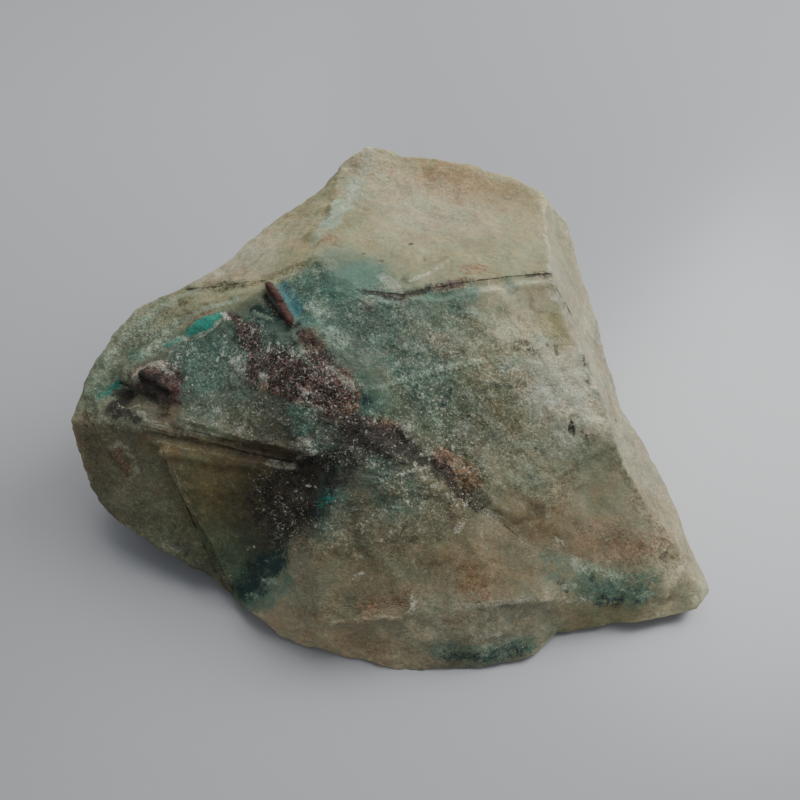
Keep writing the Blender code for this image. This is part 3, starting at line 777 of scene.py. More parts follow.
# Each mineral's stains
STAINS: dict[Mineral, str] = {
    Mineral.TEAL: """
        4.5 0.8 305,292 345,284 372,270 | 5 0.5 320,318 350,312 375,305 |
        3 0.8 435,292 470,290 455,302 | 6 0.5 370,340 400,350 430,380 |
        4 0.35 430,385 440,395 430,405 | 4 0.8 360,392 372,400 365,412 |
        4 0.5 325,440 340,480 325,530 | 6 0.5 380,470 400,495 | 6 0.6 205,350 200,380 |
        2 0.8 134,354 139,357 | 2 0.5 98,392 104,384 | 8 0.6 -58,22,30 -64,10,18 -70,2,24 |
        6 0.6 -46,44,14 -52,32,8 | 7 0.5 52,28,14 58,18,8 | 4 0.5 548,566 575,575 600,590 |
        4 0.5 620,586 650,580 640,595 | 2.5 0.7 440,650 490,655 530,642 |
        2.5 0.8 248,602 268,598 288,580 | 3 0.6 305,425 300,410 | 2 0.7 508,284 512,290""",
    Mineral.DEEP_TEAL: """
        3.2 0.9 244,588 262,570 278,560 | 2 0.7 262,588 250,578 | 2.4 0.45 594,594 605,602 618,600 |
        2 0.4 630,590 645,586 | 1.1 0.6 560,582 567,590 | 1 0.6 636,600 646,598 |
        1 0.5 606,584 616,586 | 1.6 0.5 582,568 592,576 | 1.8 0.5 448,656 480,658 492,655 |
        2.2 0.45 500,655 520,648 | 1.6 0.7 255,310 266,315 274,318 | 2 0.7 318,512 326,498 330,475 |
        1.6 0.6 360,395 370,404 | 2.2 0.4 448,385 445,400""",
    Mineral.OLIVE: """
        3.5 0.8 556,325 562,338 | 4 0.5 505,405 515,415""",
    Mineral.RUST: """
        5 0.42 585,535 630,545 675,552 | 2.6 0.8 372,428 392,432 | 2 0.9 440,455 452,460 |
        3.2 0.7 455,470 470,480 462,490 | 2.2 0.7 468,270 480,268 | 1.4 0.7 440,286 452,283 466,280 |
        2.2 0.75 322,241 331,239 | 2.4 0.4 362,609 392,602 405,596 | 2 0.9 344,378 351,392 351,405 |
        1.6 0.7 262,385 278,387 | 3.5 0.4 440,180 460,186 | 3 0.32 520,380 528,392 |
        2.5 0.35 436,340 450,350 | 1.8 0.4 548,412 566,406 | 1.8 0.6 335,415 348,420 |
        4 0.4 465,575 480,590 | 2 0.6 310,336 318,345 | 2.5 0.5 116,456 124,468 |
        2 0.5 188,330 205,312 | 6 0.5 12,68,32 22,66,18 30,60,10 | 4 0.6 -24,64,34 -30,60,24""",
    Mineral.OCHRE: """
        5 0.8 520,510 545,522 | 5 0.5 450,560 470,580 | 4 0.7 440,172 480,182 520,192 |
        3 0.6 215,282 240,272 | 3 0.6 150,445 172,455 | 0.8 0.4 163,443 200,451 245,461 |
        2.4 0.9 462,465 474,478 | 2.2 0.9 164,404 172,410 | 3 0.5 345,640 380,645""",
    Mineral.BROWN: """
        2.4 1 247,330 254,350 254,372 | 2.8 1 272,360 290,368 275,380 | 3.4 1 302,378 320,386 338,398 |
        1.9 1 304,336 310,346 | 2.4 1 318,358 331,370 344,388 | 1.6 0.8 285,392 318,402 346,410 |
        1.1 0.8 230,316 240,322 250,330 | 2 0.8 362,424 388,432 | 1.4 0.9 440,462 450,478 |
        2.4 0.8 -8,68,26 -14,66,18 -26,60,12 | 2 0.7 36,54,20 44,42,16 |
        3 1 142,376 157,370 169,381 171,394 | 1.8 0.3 195,288 235,284 262,281 |
        1.8 0.42 86,418 93,428 | 1.3 0.5 432,288 452,284 470,281 | 1.2 0.4 526,275 549,274 |
        0.7 0.6 411,244 | 0.6 0.6 364,254 | 0.6 0.5 382,261 | 0.6 0.5 425,260 | 1 0.8 285,321 296,325 |
        1.2 0.6 282,394 300,400 | 1.8 0.7 330,410 350,415 | 1.6 0.35 172,432 220,446 270,456""",
    # painted shade, not crust: the marks at 121,391, 112,407 and 124,413 in the knob's hollows, at
    # 266,296 beside the copper rod, and from 170,520 in the shaded gap of the overhang
    Mineral.DARK: """
        2.2 0.95 400,440 414,455 | 1.6 0.9 414,455 430,465 444,477 | 1.3 0.8 444,477 460,492 |
        1.5 0.8 460,492 480,508 | 3.4 1 352,430 368,440 398,442 | 3.2 0.7 318,462 345,462 335,478 |
        6 0.5 262,505 285,490 300,498 | 3 0.6 282,528 276,540 | 3.4 0.6 285,470 305,472 310,485 |
        2.6 1.5 150,384 161,392 | 1.6 0.7 166,399 164,412 | 2.2 1.4 121,391 125,398 |
        1.6 0.9 112,407 116,414 | 1.4 0.8 124,413 138,419 | 0.9 0.9 266,296 277,313 289,323 |
        0.8 0.9 364,292 385,295 400,297 415,293 428,290 | 0.6 0.6 582,356 584,364 |
        0.6 0.6 588,374 589,383 | 0.5 0.8 616,421 | 1.4 0.5 516,346 524,342 533,352 | 0.6 0.7 548,346 |
        0.6 0.6 556,347 557,354 | 0.8 1 571,424 573,433 | 1.4 0.6 246,378 256,387 |
        1.6 0.5 282,352 294,346 | 1.4 0.35 584,434 592,438 | 1.6 0.5 398,452 406,460 |
        1 0.6 598,590 610,604 | 0.5 0.7 475,508 486,512 | 1.8 0.6 330,430 345,440 |
        1.4 0.5 380,292 405,300 | 1.2 0.35 112,376 140,342 178,322 215,303 |
        1.2 0.3 120,352 150,322 190,300 | 1.4 0.35 88,440 96,465 104,490 |
        1.6 0.35 170,520 180,545 200,572""",
    Mineral.MINT: """
        3 0.5 -56,28,26 -60,18,14 | 2.4 0.5 -74,-8,24 -72,-2,14 | 2 0.8 358,180 352,196 |
        2.4 1 345,203 335,212 328,224 | 1.6 0.6 322,228 314,242 | 1.8 0.6 146,352 162,344 |
        1.8 0.35 128,330 146,326 | 1.1 0.5 104,366 132,330 165,304 195,291 |
        1 0.5 145,340 175,325 205,309 240,298 | 1.6 0.35 477,364 455,366 440,370 420,376 384,387 |
        2 0.6 330,334 341,343 | 2 0.5 314,305 322,313 | 0.5 0.9 186,338 198,336 209,330 220,321 |
        0.8 0.7 150,347 168,343 184,338 | 0.6 0.8 253,312 262,316 272,319 | 0.7 0.6 428,408 440,424 |
        1.6 0.2 300,404 318,412 | 0.6 0.7 262,580 276,582 | 0.6 0.7 246,594 256,596 |
        1 0.6 470,310 478,316 | 2 0.5 506,366 516,362 | 0.9 0.5 560,587 576,584 |
        1.6 0.5 578,566 600,572 618,575 | 1.2 0.5 640,600 655,590""",
    Mineral.CHALK: """
        0.9 0.8 136,379 140,370 150,364 160,363 168,372 | 0.7 0.7 140,411 147,419 156,424 167,425 |
        0.7 0.6 113,388 120,385 129,390 | 5 0.5 28,64,30 34,58,20 | 4 0.5 -44,48,30 -38,54,20 |
        3 0.5 0,69,14 | 4 0.6 560,378 550,394 540,403 | 3 0.6 557,442 570,444 |
        1.8 0.6 366,303 373,305 | 1.3 1 371,149 368,163 360,178 | 1.6 0.8 384,278 392,284 397,290 |
        1 0.6 545,283 553,297 560,304 | 1 0.6 571,330 580,345 576,353 | 1.2 0.8 406,428 408,434 |
        1 0.5 455,432 468,429 | 0.6 0.6 432,485 440,487 | 0.6 0.6 185,429 205,435 218,436 |
        1 0.8 300,441 309,443 | 0.6 0.8 298,457 315,452 | 0.6 0.62 440,608 485,605 532,599 |
        0.6 0.6 318,626 345,625 380,621 | 0.6 0.55 268,624 282,635 300,642 | 1.1 0.7 574,561 583,564 |
        1 0.6 674,535 680,548 688,565 | 0.5 0.6 162,546 172,550 182,552 | 1 0.5 250,430 240,424 |
        0.7 0.6 110,448 118,443 127,447 130,456 | 0.7 0.5 134,462 136,472 130,481 |
        0.8 0.6 270,462 282,466 294,466 | 0.9 0.6 332,368 346,380 352,388 | 1.6 0.5 236,362 242,366""",
    Mineral.AZURE: """
        1.6 1 285,288 291,300 297,311 | 1.4 0.4 300,316 307,321""",
    Mineral.TURQUOISE: """
        0.9 1 187,333 195,329 | 1.7 1 201,325 208,322 | 0.9 0.9 214,318 220,315 |
        0.6 0.6 166,345 181,340 | 0.9 0.55 119,381 108,391 98,399 | 1.2 0.42 318,505 330,499""",
    Mineral.COPPER: """
        1.2 1 269,285 278,299 289,318 | 0.8 1.2 176,390 180,394""",
    Mineral.WHITE: """
        0.45 0.6 411,281 420,277 431,272 | 0.4 0.5 434,270 441,266 449,260 | 0.9 0.8 261,376 265,378 |
        0.6 0.5 296,357 302,352 | 0.4 0.7 268,351 270,343 | 0.5 0.6 278,343 | 0.5 0.6 422,455 433,453 |
        0.4 0.6 403,473 415,470 427,467 | 0.5 0.9 415,464 | 0.4 0.7 392,532 399,531 |
        0.4 0.4 385,504 397,508 | 0.4 0.4 418,512 426,500 | 0.35 0.7 306,486 309,486 |
        0.3 0.7 315,487 | 0.35 0.6 295,491 | 0.3 0.6 297,499 | 0.35 0.7 293,515 | 0.25 0.6 300,513 |
        0.3 0.7 282,525 | 0.9 0.5 356,186 350,200 | 0.9 0.5 341,208 332,218 | 0.5 0.7 316,526 |
        0.9 0.42 457,530 464,520 | 0.8 0.4 486,511 498,519 | 0.8 0.5 412,598 415,606 |
        0.4 0.5 556,538 566,547 | 0.4 0.5 352,578 364,571 | 0.8 0.42 474,639 500,634 |
        0.8 0.45 566,603 590,599 | 0.3 0.6 246,548 254,546 | 0.5 0.5 489,281 494,291 |
        0.6 0.7 223,313 228,319 | 0.5 0.6 545,235 549,272""",
}

# Thin dark seams, in sets whose seams lie well apart, two of them painted shadow; a seam's reach is half
# its width
SEAMS: dict[str, str] = {
    # the seam from 170,474 to 226,590 is painted shadow in the gap beside the olive face
    "cracks": """
        0.22 0.68 364,291 385,294 400,296 415,293 430,289 |
        0.12 0.7 430,289 455,284 485,280 500,278 525,276 | 0.22 0.9 525,276 549,274 |
        0.1 0.9 551,276 557,290 566,305 577,326 | 0.14 0.6 192,289 215,287 235,284 262,281 |
        0.1 0.5 478,507 500,522 520,538 | 0.12 0.7 152,429 190,438 220,446 255,455 300,463 |
        0.12 0.7 170,474 187,506 202,540 215,570 226,590 | 0.15 0.6 278,640 262,628 240,606""",
    # the seam from 266,296 to 289,323 is painted shadow beside the copper rod
    "folds_and_rod_shadow": """
        0.08 0.5 158,424 200,433 250,446 300,456 | 0.2 0.8 266,296 277,313 289,323 |
        0.08 0.4 350,606 380,603 402,606 | 0.14 0.8 571,424 573,433 |
        0.07 0.3 596,360 606,388 618,424 | 0.1 0.5 232,330 236,350 247,376 |
        0.08 0.5 108,452 122,470 128,492 140,512 | 0.22 0.9 -29,61,46 -27,63,34 -33,58,22 -30,57,8 |
        0.14 0.7 -60,20,38 -62,18,26 -56,26,14 | 0.14 0.7 24,66,40 20,69,26 27,66,12""",
}

# Thin pale rims where edges have been chipped, with half their width too
RIMS: dict[str, str] = {
    "rims": """
        0.12 0.45 165,448 177,480 192,508 207,538 219,565 228,584 |
        0.1 0.3 163,443 200,451 245,461 288,468 | 0.13 0.55 184,418 215,428 255,440 300,450 316,456 |
        0.14 0.3 372,389 400,383 420,378 440,372 455,368 480,363 |
        0.15 0.65 290,629 330,623 375,617 400,618 413,605 | 0.1 0.55 440,605 483,603 520,600 560,590 |
        0.1 0.6 474,499 488,513 502,522 516,533 | 0.13 0.65 184,340 196,338 209,331 222,320 |
        0.12 0.45 440,291 480,287 520,282 | 0.1 0.5 264,386 280,371 295,358 |
        0.16 0.6 136,374 146,366 158,362 168,368 | 0.12 0.65 141,408 146,419 158,424 169,426 |
        0.1 0.6 114,400 120,408 131,408 | 0.12 0.4 562,292 582,336 604,386 622,428 |
        0.12 0.5 150,348 168,344 182,339""",
}

# White grains, their flecks partly painted glints
DUSTS: str = """
    12 0.38 575,285 600,350 630,440 655,500 | 6 0.36 370,240 430,258 500,258 |
    16 0.5 40,50,14 50,33,10 60,14,8 | 9 1 190,365 215,350 235,360 | 8 0.9 185,400 235,405 270,415 |
    7 1.15 250,340 262,370 300,370 335,395 | 10 0.85 300,290 360,305 400,335 |
    9 1 320,430 370,440 410,450 | 8 1.05 440,460 465,480 400,480 | 10 1 430,400 460,420 420,370 |
    11 0.85 450,340 500,390 510,430 | 9 0.8 300,520 340,520 390,520 430,510 |
    13 0.6 520,350 560,430 540,470 | 16 0.38 330,570 430,560 520,520 | 5 0.35 150,370 165,385 |
    10 0.7 150,330 110,400 | 8 0.95 280,490 292,520 | 10 0.4 205,490 225,530 240,560 |
    12 0.45 120,450 150,500 170,540 | 12 0.35 330,640 430,635 520,630 590,610 | 14 0.3 660,580 640,550"""

# Where they are few, with the share taken away; at 120,394 and 112,408 this keeps the painted shade in
# the knob's hollows clear
CLEAN_PLACES: str = """
    4 0.6 348,279 362,272 | 4.2 0.8 148,382 164,390 167,412 | 3 0.8 120,394 128,402 |
    2 0.8 112,408 118,416 | 4 0.15 405,444 445,480 | 2.5 0.6 200,330 212,322 | 2 0.6 270,287 290,318 |
    5 0.1 352,432 390,440"""

# Where the surface is more broken than elsewhere
CRUMBLING: str = """
    2.6 2.2 553,284 568,312 582,350 594,390 608,430 630,478 655,525 680,572 |
    2.4 1.8 165,450 180,485 200,522 215,555 228,584 |
    12 1.5 26,68,16 40,50,14 50,33,12 60,14,10 68,-2,8 | 8 0.7 575,300 600,360 630,440 655,500 |
    9 1.6 80,430 110,470 130,510 180,560 | 8 1.4 110,375 150,330 200,300 |
    8 1.6 320,640 400,645 480,640 560,620 | 6 1.2 620,595 660,590 690,580 |
    6 1.8 150,375 165,400 125,400 | 5 1.2 350,160 350,200 330,225 | 6 1.2 265,345 300,380 335,395 |
    7 0.9 170,455 200,470 280,490"""


# ---------------------------------------------------------------- nodes


MIDDLE = 0.5  # the mean of noise and of random numbers from 0 to 1
Band = tuple[float, float]  # where a smooth step begins, and where it is done
Slope = tuple[float, float]  # what a value is multiplied by, and what is then added


@dataclass(frozen=True)
class Waves:
    """Noise: its waves' length in millimetres, its octaves, and how strong the finer ones are."""

    size: float
    detail: float = 3.0
    rough: float = 0.55


class Wire:
    """What comes out of a node. Each sum done with it adds a node to its sheet."""

    def __init__(self, sheet: "NodeSheet", socket: bpy.types.NodeSocket) -> None:
        """Keep the socket and its sheet."""
        self.sheet = sheet
        self.socket = socket

    def __add__(self, other: "Feed") -> "Wire":
        """This plus a value."""
        return self.sheet.math("ADD", self, other)

    __radd__ = __add__

    def __sub__(self, other: "Feed") -> "Wire":
        """This minus a value."""
        return self.sheet.math("SUBTRACT", self, other)

    def __rsub__(self, other: "Feed") -> "Wire":
        """A value minus this."""
        return self.sheet.math("SUBTRACT", other, self)

    def __mul__(self, other: "Feed") -> "Wire":
        """This times a value."""
        return self.sheet.math("MULTIPLY", self, other)

    def __rtruediv__(self, other: "Feed") -> "Wire":
        """A value over this."""
        return self.sheet.math("DIVIDE", other, self)

    def __abs__(self) -> "Wire":
        """This without its sign."""
        return self.sheet.math("ABSOLUTE", self)


Feed = Wire | float | tuple[float, ...]


def sloped(value: Wire, slope: Slope) -> Wire:
    """A value times the slope's first number, plus its second."""
    return value * slope[0] + slope[1]


class Placed:
    """A node on a sheet, giving its outputs by name or number."""

    def __init__(self, sheet: "NodeSheet", node: bpy.types.Node) -> None:
        """Keep the node and its sheet."""
        self.sheet = sheet
        self.node = node

    def __getitem__(self, name: str | int) -> Wire:
        """One output."""
        return Wire(self.sheet, self.node.outputs[name])


class NodeSheet:
    """A node tree with short ways to add and join its nodes."""

    def __init__(self, tree: bpy.types.NodeTree) -> None:
        """Keep the tree."""
        self.tree = tree

    def feed(self, socket: bpy.types.NodeSocket, value: Feed) -> None:
        """Join a wire to an input, or set the input's own value."""
        if isinstance(value, Wire):
            self.tree.links.new(value.socket, socket)
        elif isinstance(value, tuple) and socket.type == "RGBA":
            socket.default_value = (*value, 1.0)
        else:
            socket.default_value = value

    def add(
        self, kind: str, feeds: dict[str | int, Feed], **settings: str | bpy.types.NodeTree
    ) -> Placed:
        """Add one node.

        Args:
            kind: the node's type, without the words ShaderNode.
            feeds: what goes into its inputs, by name or number.
            settings: its other settings.

        Returns:
            The node.
        """
        node = self.tree.nodes.new("ShaderNode" + kind)
        for name, value in settings.items():
            setattr(node, name, value)
        for name, value in feeds.items():
            self.feed(node.inputs[name], value)
        return Placed(self, node)

    def group(self, tree: bpy.types.NodeTree, feeds: dict[str | int, Feed]) -> Placed:
        """Place a node group."""
        return self.add("Group", feeds, node_tree=tree)

    def math(self, operation: str, first: Feed, second: Feed = 0.0) -> Wire:
        """The result of one sum."""
        return self.add("Math", {0: first, 1: second}, operation=operation)[0]

    def vectors(self, operation: str, first: Feed, second: Feed) -> Placed:
        """One sum of vectors."""
        return self.add("VectorMath", {0: first, 1: second}, operation=operation)

    def scaled(self, vector: Feed, factor: Feed) -> Wire:
        """A vector or colour times a number."""
        return self.add("VectorMath", {0: vector, "Scale": factor}, operation="SCALE")[0]

    def mixed(self, share: Feed, under: Feed, over: Feed, blend: str = "MIX") -> Wire:
        """Two colours mixed by a share from 0 to 1."""
        feeds = {0: share, 6: under, 7: over}
        return self.add("Mix", feeds, data_type="RGBA", blend_type=blend)[2]

    def between(self, value: Feed, low: Feed, high: Feed) -> Wire:
        """0 up to low, 1 from high, and a smooth step between."""
        feeds = {"Value": value, "From Min": low, "From Max": high}
        return self.add("MapRange", feeds, interpolation_type="SMOOTHSTEP")[0]

    def noise(self, vector: Feed, waves: Waves, size: Wire | None = None) -> Wire:
        """Noise from 0 to 1, its waves' length taken from a wire where there is one."""
        scale = 1.0 / (waves.size if size is None else size)
        feeds = {"Vector": vector, "Scale": scale, "Detail": waves.detail, "Roughness": waves.rough}
        return self.add("TexNoise", feeds)[0]

    def sway(self, vector: Feed, waves: Waves, size: Wire | None = None) -> Wire:
        """Noise about 0."""
        return self.noise(vector, waves, size) - MIDDLE

    def pushed(self, vector: Feed, scale: Feed, detail: float, push: Feed) -> Wire:
        """Places pushed about by coloured noise."""
        warp = self.add("TexNoise", {"Vector": vector, "Scale": scale, "Detail": detail})["Color"]
        return self.vectors("ADD", vector, self.scaled(warp, push))[0]

    def number(self, name: str) -> Wire:
        """One of the mesh's attributes."""
        return self.add("Attribute", {}, attribute_name=name)["Fac"]


class GroupSheet(NodeSheet):
    """A new node group from the inside. Its sockets are plain numbers, but for those in KINDS."""

    KINDS = {"Vector": "Vector", "Colour": "Color"}

    def __init__(self, name: str, inputs: dict[str, float | None], outputs: tuple[str, ...]) -> None:
        """Make the group's named inputs, with their usual values, and its named outputs."""
        super().__init__(bpy.data.node_groups.new(name, "ShaderNodeTree"))
        for label, value in inputs.items():
            socket = self.new_socket(label, "INPUT")
            if value is not None:
                socket.default_value = value
        for label in outputs:
            self.new_socket(label, "OUTPUT")
        self.given = Placed(self, self.tree.nodes.new("NodeGroupInput"))
        self.result = self.tree.nodes.new("NodeGroupOutput")

    def new_socket(self, label: str, side: str) -> bpy.types.NodeTreeInterfaceSocket:
        """Make one named input or output."""
        kind = "NodeSocket" + self.KINDS.get(label, "Float")
        return self.tree.interface.new_socket(label, in_out=side, socket_type=kind)

    def give(self, label: str, wire: Wire) -> None:
        """Join a wire to an output."""
        self.feed(self.result.inputs[label], wire)


@dataclass(frozen=True)
class StainEdge:
    """A stain's ragged mask: where its amount passes a level that noise moves up and down."""

    cloud: Waves = Waves(2.0, 6.0, 0.68)
    cloud_swing: float = 2.4
    grain_swing: float = 0.7
    level_limits: tuple[float, float] = (0.08, 0.95)
    least_amount: float = 0.01

    def build(self) -> bpy.types.NodeTree:
        """Make the group."""
        numbers = {"Amount": 0.0, "Size": self.cloud.size, "Grain": 0.5, "Ragged": 0.6, "Soft": 0.1}
        sheet = GroupSheet("stain_edge", {"Vector": None, **numbers}, ("Mask",))
        given = sheet.given
        cloud = sheet.sway(given["Vector"], self.cloud, given["Size"]) * self.cloud_swing
        grain = (given["Grain"] - MIDDLE) * self.grain_swing
        lowest, highest = self.level_limits
        level = sheet.math("MAXIMUM", (cloud + grain) * given["Ragged"] + MIDDLE, lowest)
        level = sheet.math("MINIMUM", level, highest)
        low = sheet.math("MAXIMUM", level - given["Soft"], self.least_amount)
        sheet.give("Mask", sheet.between(given["Amount"], low, level + given["Soft"]))
        return sheet.tree


@dataclass(frozen=True)
class Mottle:
    """The rock's cloudiness: its colour lightened, darkened and turned by noise at several sizes."""

    broad: Waves = Waves(11.0, 4.0, 0.6)
    broad_dust: Slope = (1.0, 0.6)
    fine: Waves = Waves(2.0, 6.0, 0.8)
    fine_dust: Slope = (2.0, 0.5)
    turn: Waves = Waves(5.0, 6.0, 0.70)
    turn_band: Band = (0.38, 0.62)
    warm: Triple = (1.07, 0.985, 0.92)
    cool: Triple = (0.93, 1.015, 1.00)

    def build(self) -> bpy.types.NodeTree:
        """Make the group."""
        sheet = GroupSheet("rock_mottle", {"Vector": None, "Colour": None, "Dust": 1.0}, ("Colour",))
        vector, dust = sheet.given["Vector"], sheet.given["Dust"]
        broad = sheet.sway(vector, self.broad) * sloped(dust, self.broad_dust)
        fine = sheet.sway(vector, self.fine) * sloped(dust, self.fine_dust)
        shaded = sheet.scaled(sheet.given["Colour"], sheet.math("POWER", math.e, broad + fine))
        turn = sheet.between(sheet.noise(vector, self.turn), *self.turn_band)
        warm = sheet.mixed(1.0, shaded, self.warm, "MULTIPLY")
        cool = sheet.mixed(1.0, shaded, self.cool, "MULTIPLY")
        sheet.give("Colour", sheet.mixed(turn, cool, warm))
        return sheet.tree


@dataclass(frozen=True)
class SugarGrain:
    """Sugary grains: scattered cells, each lighter or darker than the rest, and their height."""

    warp_scale: float = 1.3
    warp_detail: float = 2.0
    push: float = 0.8
    core_band: Band = (0.55, 0.10)

    def build(self) -> bpy.types.NodeTree:
        """Make the group."""
        outputs = ("Lightness", "Pick", "Height")
        sheet = GroupSheet("sugar_grain", {"Vector": None, "Size": 0.9}, outputs)
        bent = sheet.pushed(sheet.given["Vector"], self.warp_scale, self.warp_detail, self.push)
        cells = sheet.add("TexVoronoi", {"Vector": bent, "Scale": 1.0 / sheet.given["Size"]})
        pick = sheet.add("SeparateColor", {0: cells["Color"]})
        sheet.give("Lightness", pick[0])
        sheet.give("Pick", pick[1])
        sheet.give("Height", sheet.between(cells["Distance"], *self.core_band) * pick[2])
        return sheet.tree


@dataclass(frozen=True)
class PaleFlecksAndGlints:
    """Pale flecks, partly white grains and partly painted glints, with hair lines and haze, thicker where
    there is more dust.

    Flecks lie where a fine, rough noise passes a level that sinks with the dust and sways from
    place to place. Hair lines follow the middle level of a broader noise, gated so that only short
    arcs are left. Haze is a soft cloud of very fine flecks.
    """

    level: float = 0.70
    level_dust: float = 0.10
    cluster: Waves = Waves(5.5, 5.0, 0.7)
    cluster_swing: float = 0.28
    fine: Waves = Waves(0.62, 3.0, 0.6)
    fine_step: float = 0.06
    crumbs: Waves = Waves(2.4, 4.0, 0.75)
    crumbs_below: float = 0.01
    crumbs_step: float = 0.08
    bands: Waves = Waves(3.6, 4.0, 0.65)
    hair_band: Band = (0.016, 0.003)
    gate: Waves = Waves(3.0)
    gate_band: Band = (0.56, 0.66)
    haze: Waves = Waves(4.2, 8.0, 0.78)
    haze_band: Band = (0.45, 0.75)

    def build(self) -> bpy.types.NodeTree:
        """Make the group."""
        outputs = ("Flecks", "Hairs", "Haze")
        sheet = GroupSheet("pale_flecks_and_glints", {"Vector": None, "Dust": 0.5}, outputs)
        vector = sheet.given["Vector"]
        cluster = sheet.sway(vector, self.cluster) * self.cluster_swing
        level = self.level - sheet.given["Dust"] * self.level_dust - cluster
        flecks = sheet.between(sheet.noise(vector, self.fine), level, level + self.fine_step)
        start = level - self.crumbs_below
        crumbs = sheet.between(sheet.noise(vector, self.crumbs), start, start + self.crumbs_step)
        sheet.give("Flecks", sheet.math("MAXIMUM", flecks, crumbs))
        hair = sheet.between(abs(sheet.sway(vector, self.bands)), *self.hair_band)
        gate = sheet.between(sheet.noise(vector, self.gate), *self.gate_band)
        sheet.give("Hairs", hair * gate)
        sheet.give("Haze", sheet.between(sheet.noise(vector, self.haze), *self.haze_band))
        return sheet.tree


@dataclass(frozen=True)
class ThinLine:
    """A thin line that wanders, swells and nearly breaks, from the offset across it in millimetres."""

    curve: Waves = Waves(4.5, 3.0, 0.5)
    curve_swing: float = 2.4
    fray: Waves = Waves(0.9, 3.0, 0.6)
    fray_swing: float = 0.8
    swell: Waves = Waves(3.4, 4.0, 0.6)
    swell_band: Band = (0.40, 0.62)
    swell_width: Slope = (1.5, 0.3)
    swell_fill: Slope = (0.8, 0.2)
    soft: float = 0.10
    core: float = 0.4

    def build(self) -> bpy.types.NodeTree:
        """Make the group."""
        numbers = {"Side": 9.0, "Width": 0.1, "Fill": 0.0, "Wander": 0.5}
        sheet = GroupSheet("thin_line", {"Vector": None, **numbers}, ("Mask",))
        given, vector = sheet.given, sheet.given["Vector"]
        curve = sheet.sway(vector, self.curve) * self.curve_swing
        curve = curve + sheet.sway(vector, self.fray) * self.fray_swing
        side = given["Side"] + curve * given["Wander"]
        swell = sheet.between(sheet.noise(vector, self.swell), *self.swell_band)
        width = given["Width"] * sloped(swell, self.swell_width)
        line = sheet.between(abs(side), width + self.soft, width * self.core)
        sheet.give("Mask", line * (given["Fill"] * sloped(swell, self.swell_fill)))
        return sheet.tree


@dataclass(frozen=True)
class BrokenPlates:
    """Small broken plates: scattered cells, each tilted its own way and a little lighter or darker.

    A plate's height is the offset from its middle times its own random slope, so that plates meet
    in crisp steps.
    """

    warp_scale: float = 1.6
    warp_detail: float = 3.0
    push: float = 1.3

    def build(self) -> bpy.types.NodeTree:
        """Make the group."""
        outputs = ("Height", "Lightness")
        sheet = GroupSheet("broken_plates", {"Vector": None, "Size": 3.0}, outputs)
        size = sheet.given["Size"]
        scale = 1.0 / size
        vector = sheet.given["Vector"]
        bent = sheet.pushed(vector, scale * self.warp_scale, self.warp_detail, size * self.push)
        cells = sheet.add("TexVoronoi", {"Vector": bent, "Scale": scale})
        offset = sheet.vectors("SUBTRACT", bent, cells["Position"])[0]
        slope = sheet.vectors("SUBTRACT", cells["Color"], (MIDDLE, MIDDLE, MIDDLE))[0]
        sheet.give("Height", sheet.vectors("DOT_PRODUCT", offset, slope)["Value"])
        sheet.give("Lightness", sheet.add("SeparateColor", {0: cells["Color"]})[0])
        return sheet.tree


@dataclass(frozen=True)
class Ground:
    """What every layer of the stone's material starts from, its places in millimetres."""

    sheet: NodeSheet
    vector: Wire
    dust: Wire
    grain: Placed

    def laid(self, share: Wire, colour: Wire, shown: Triple) -> Wire:
        """The colour with a share of another laid over it, given as display values."""
        return self.sheet.mixed(share, colour, srgb(*shown))


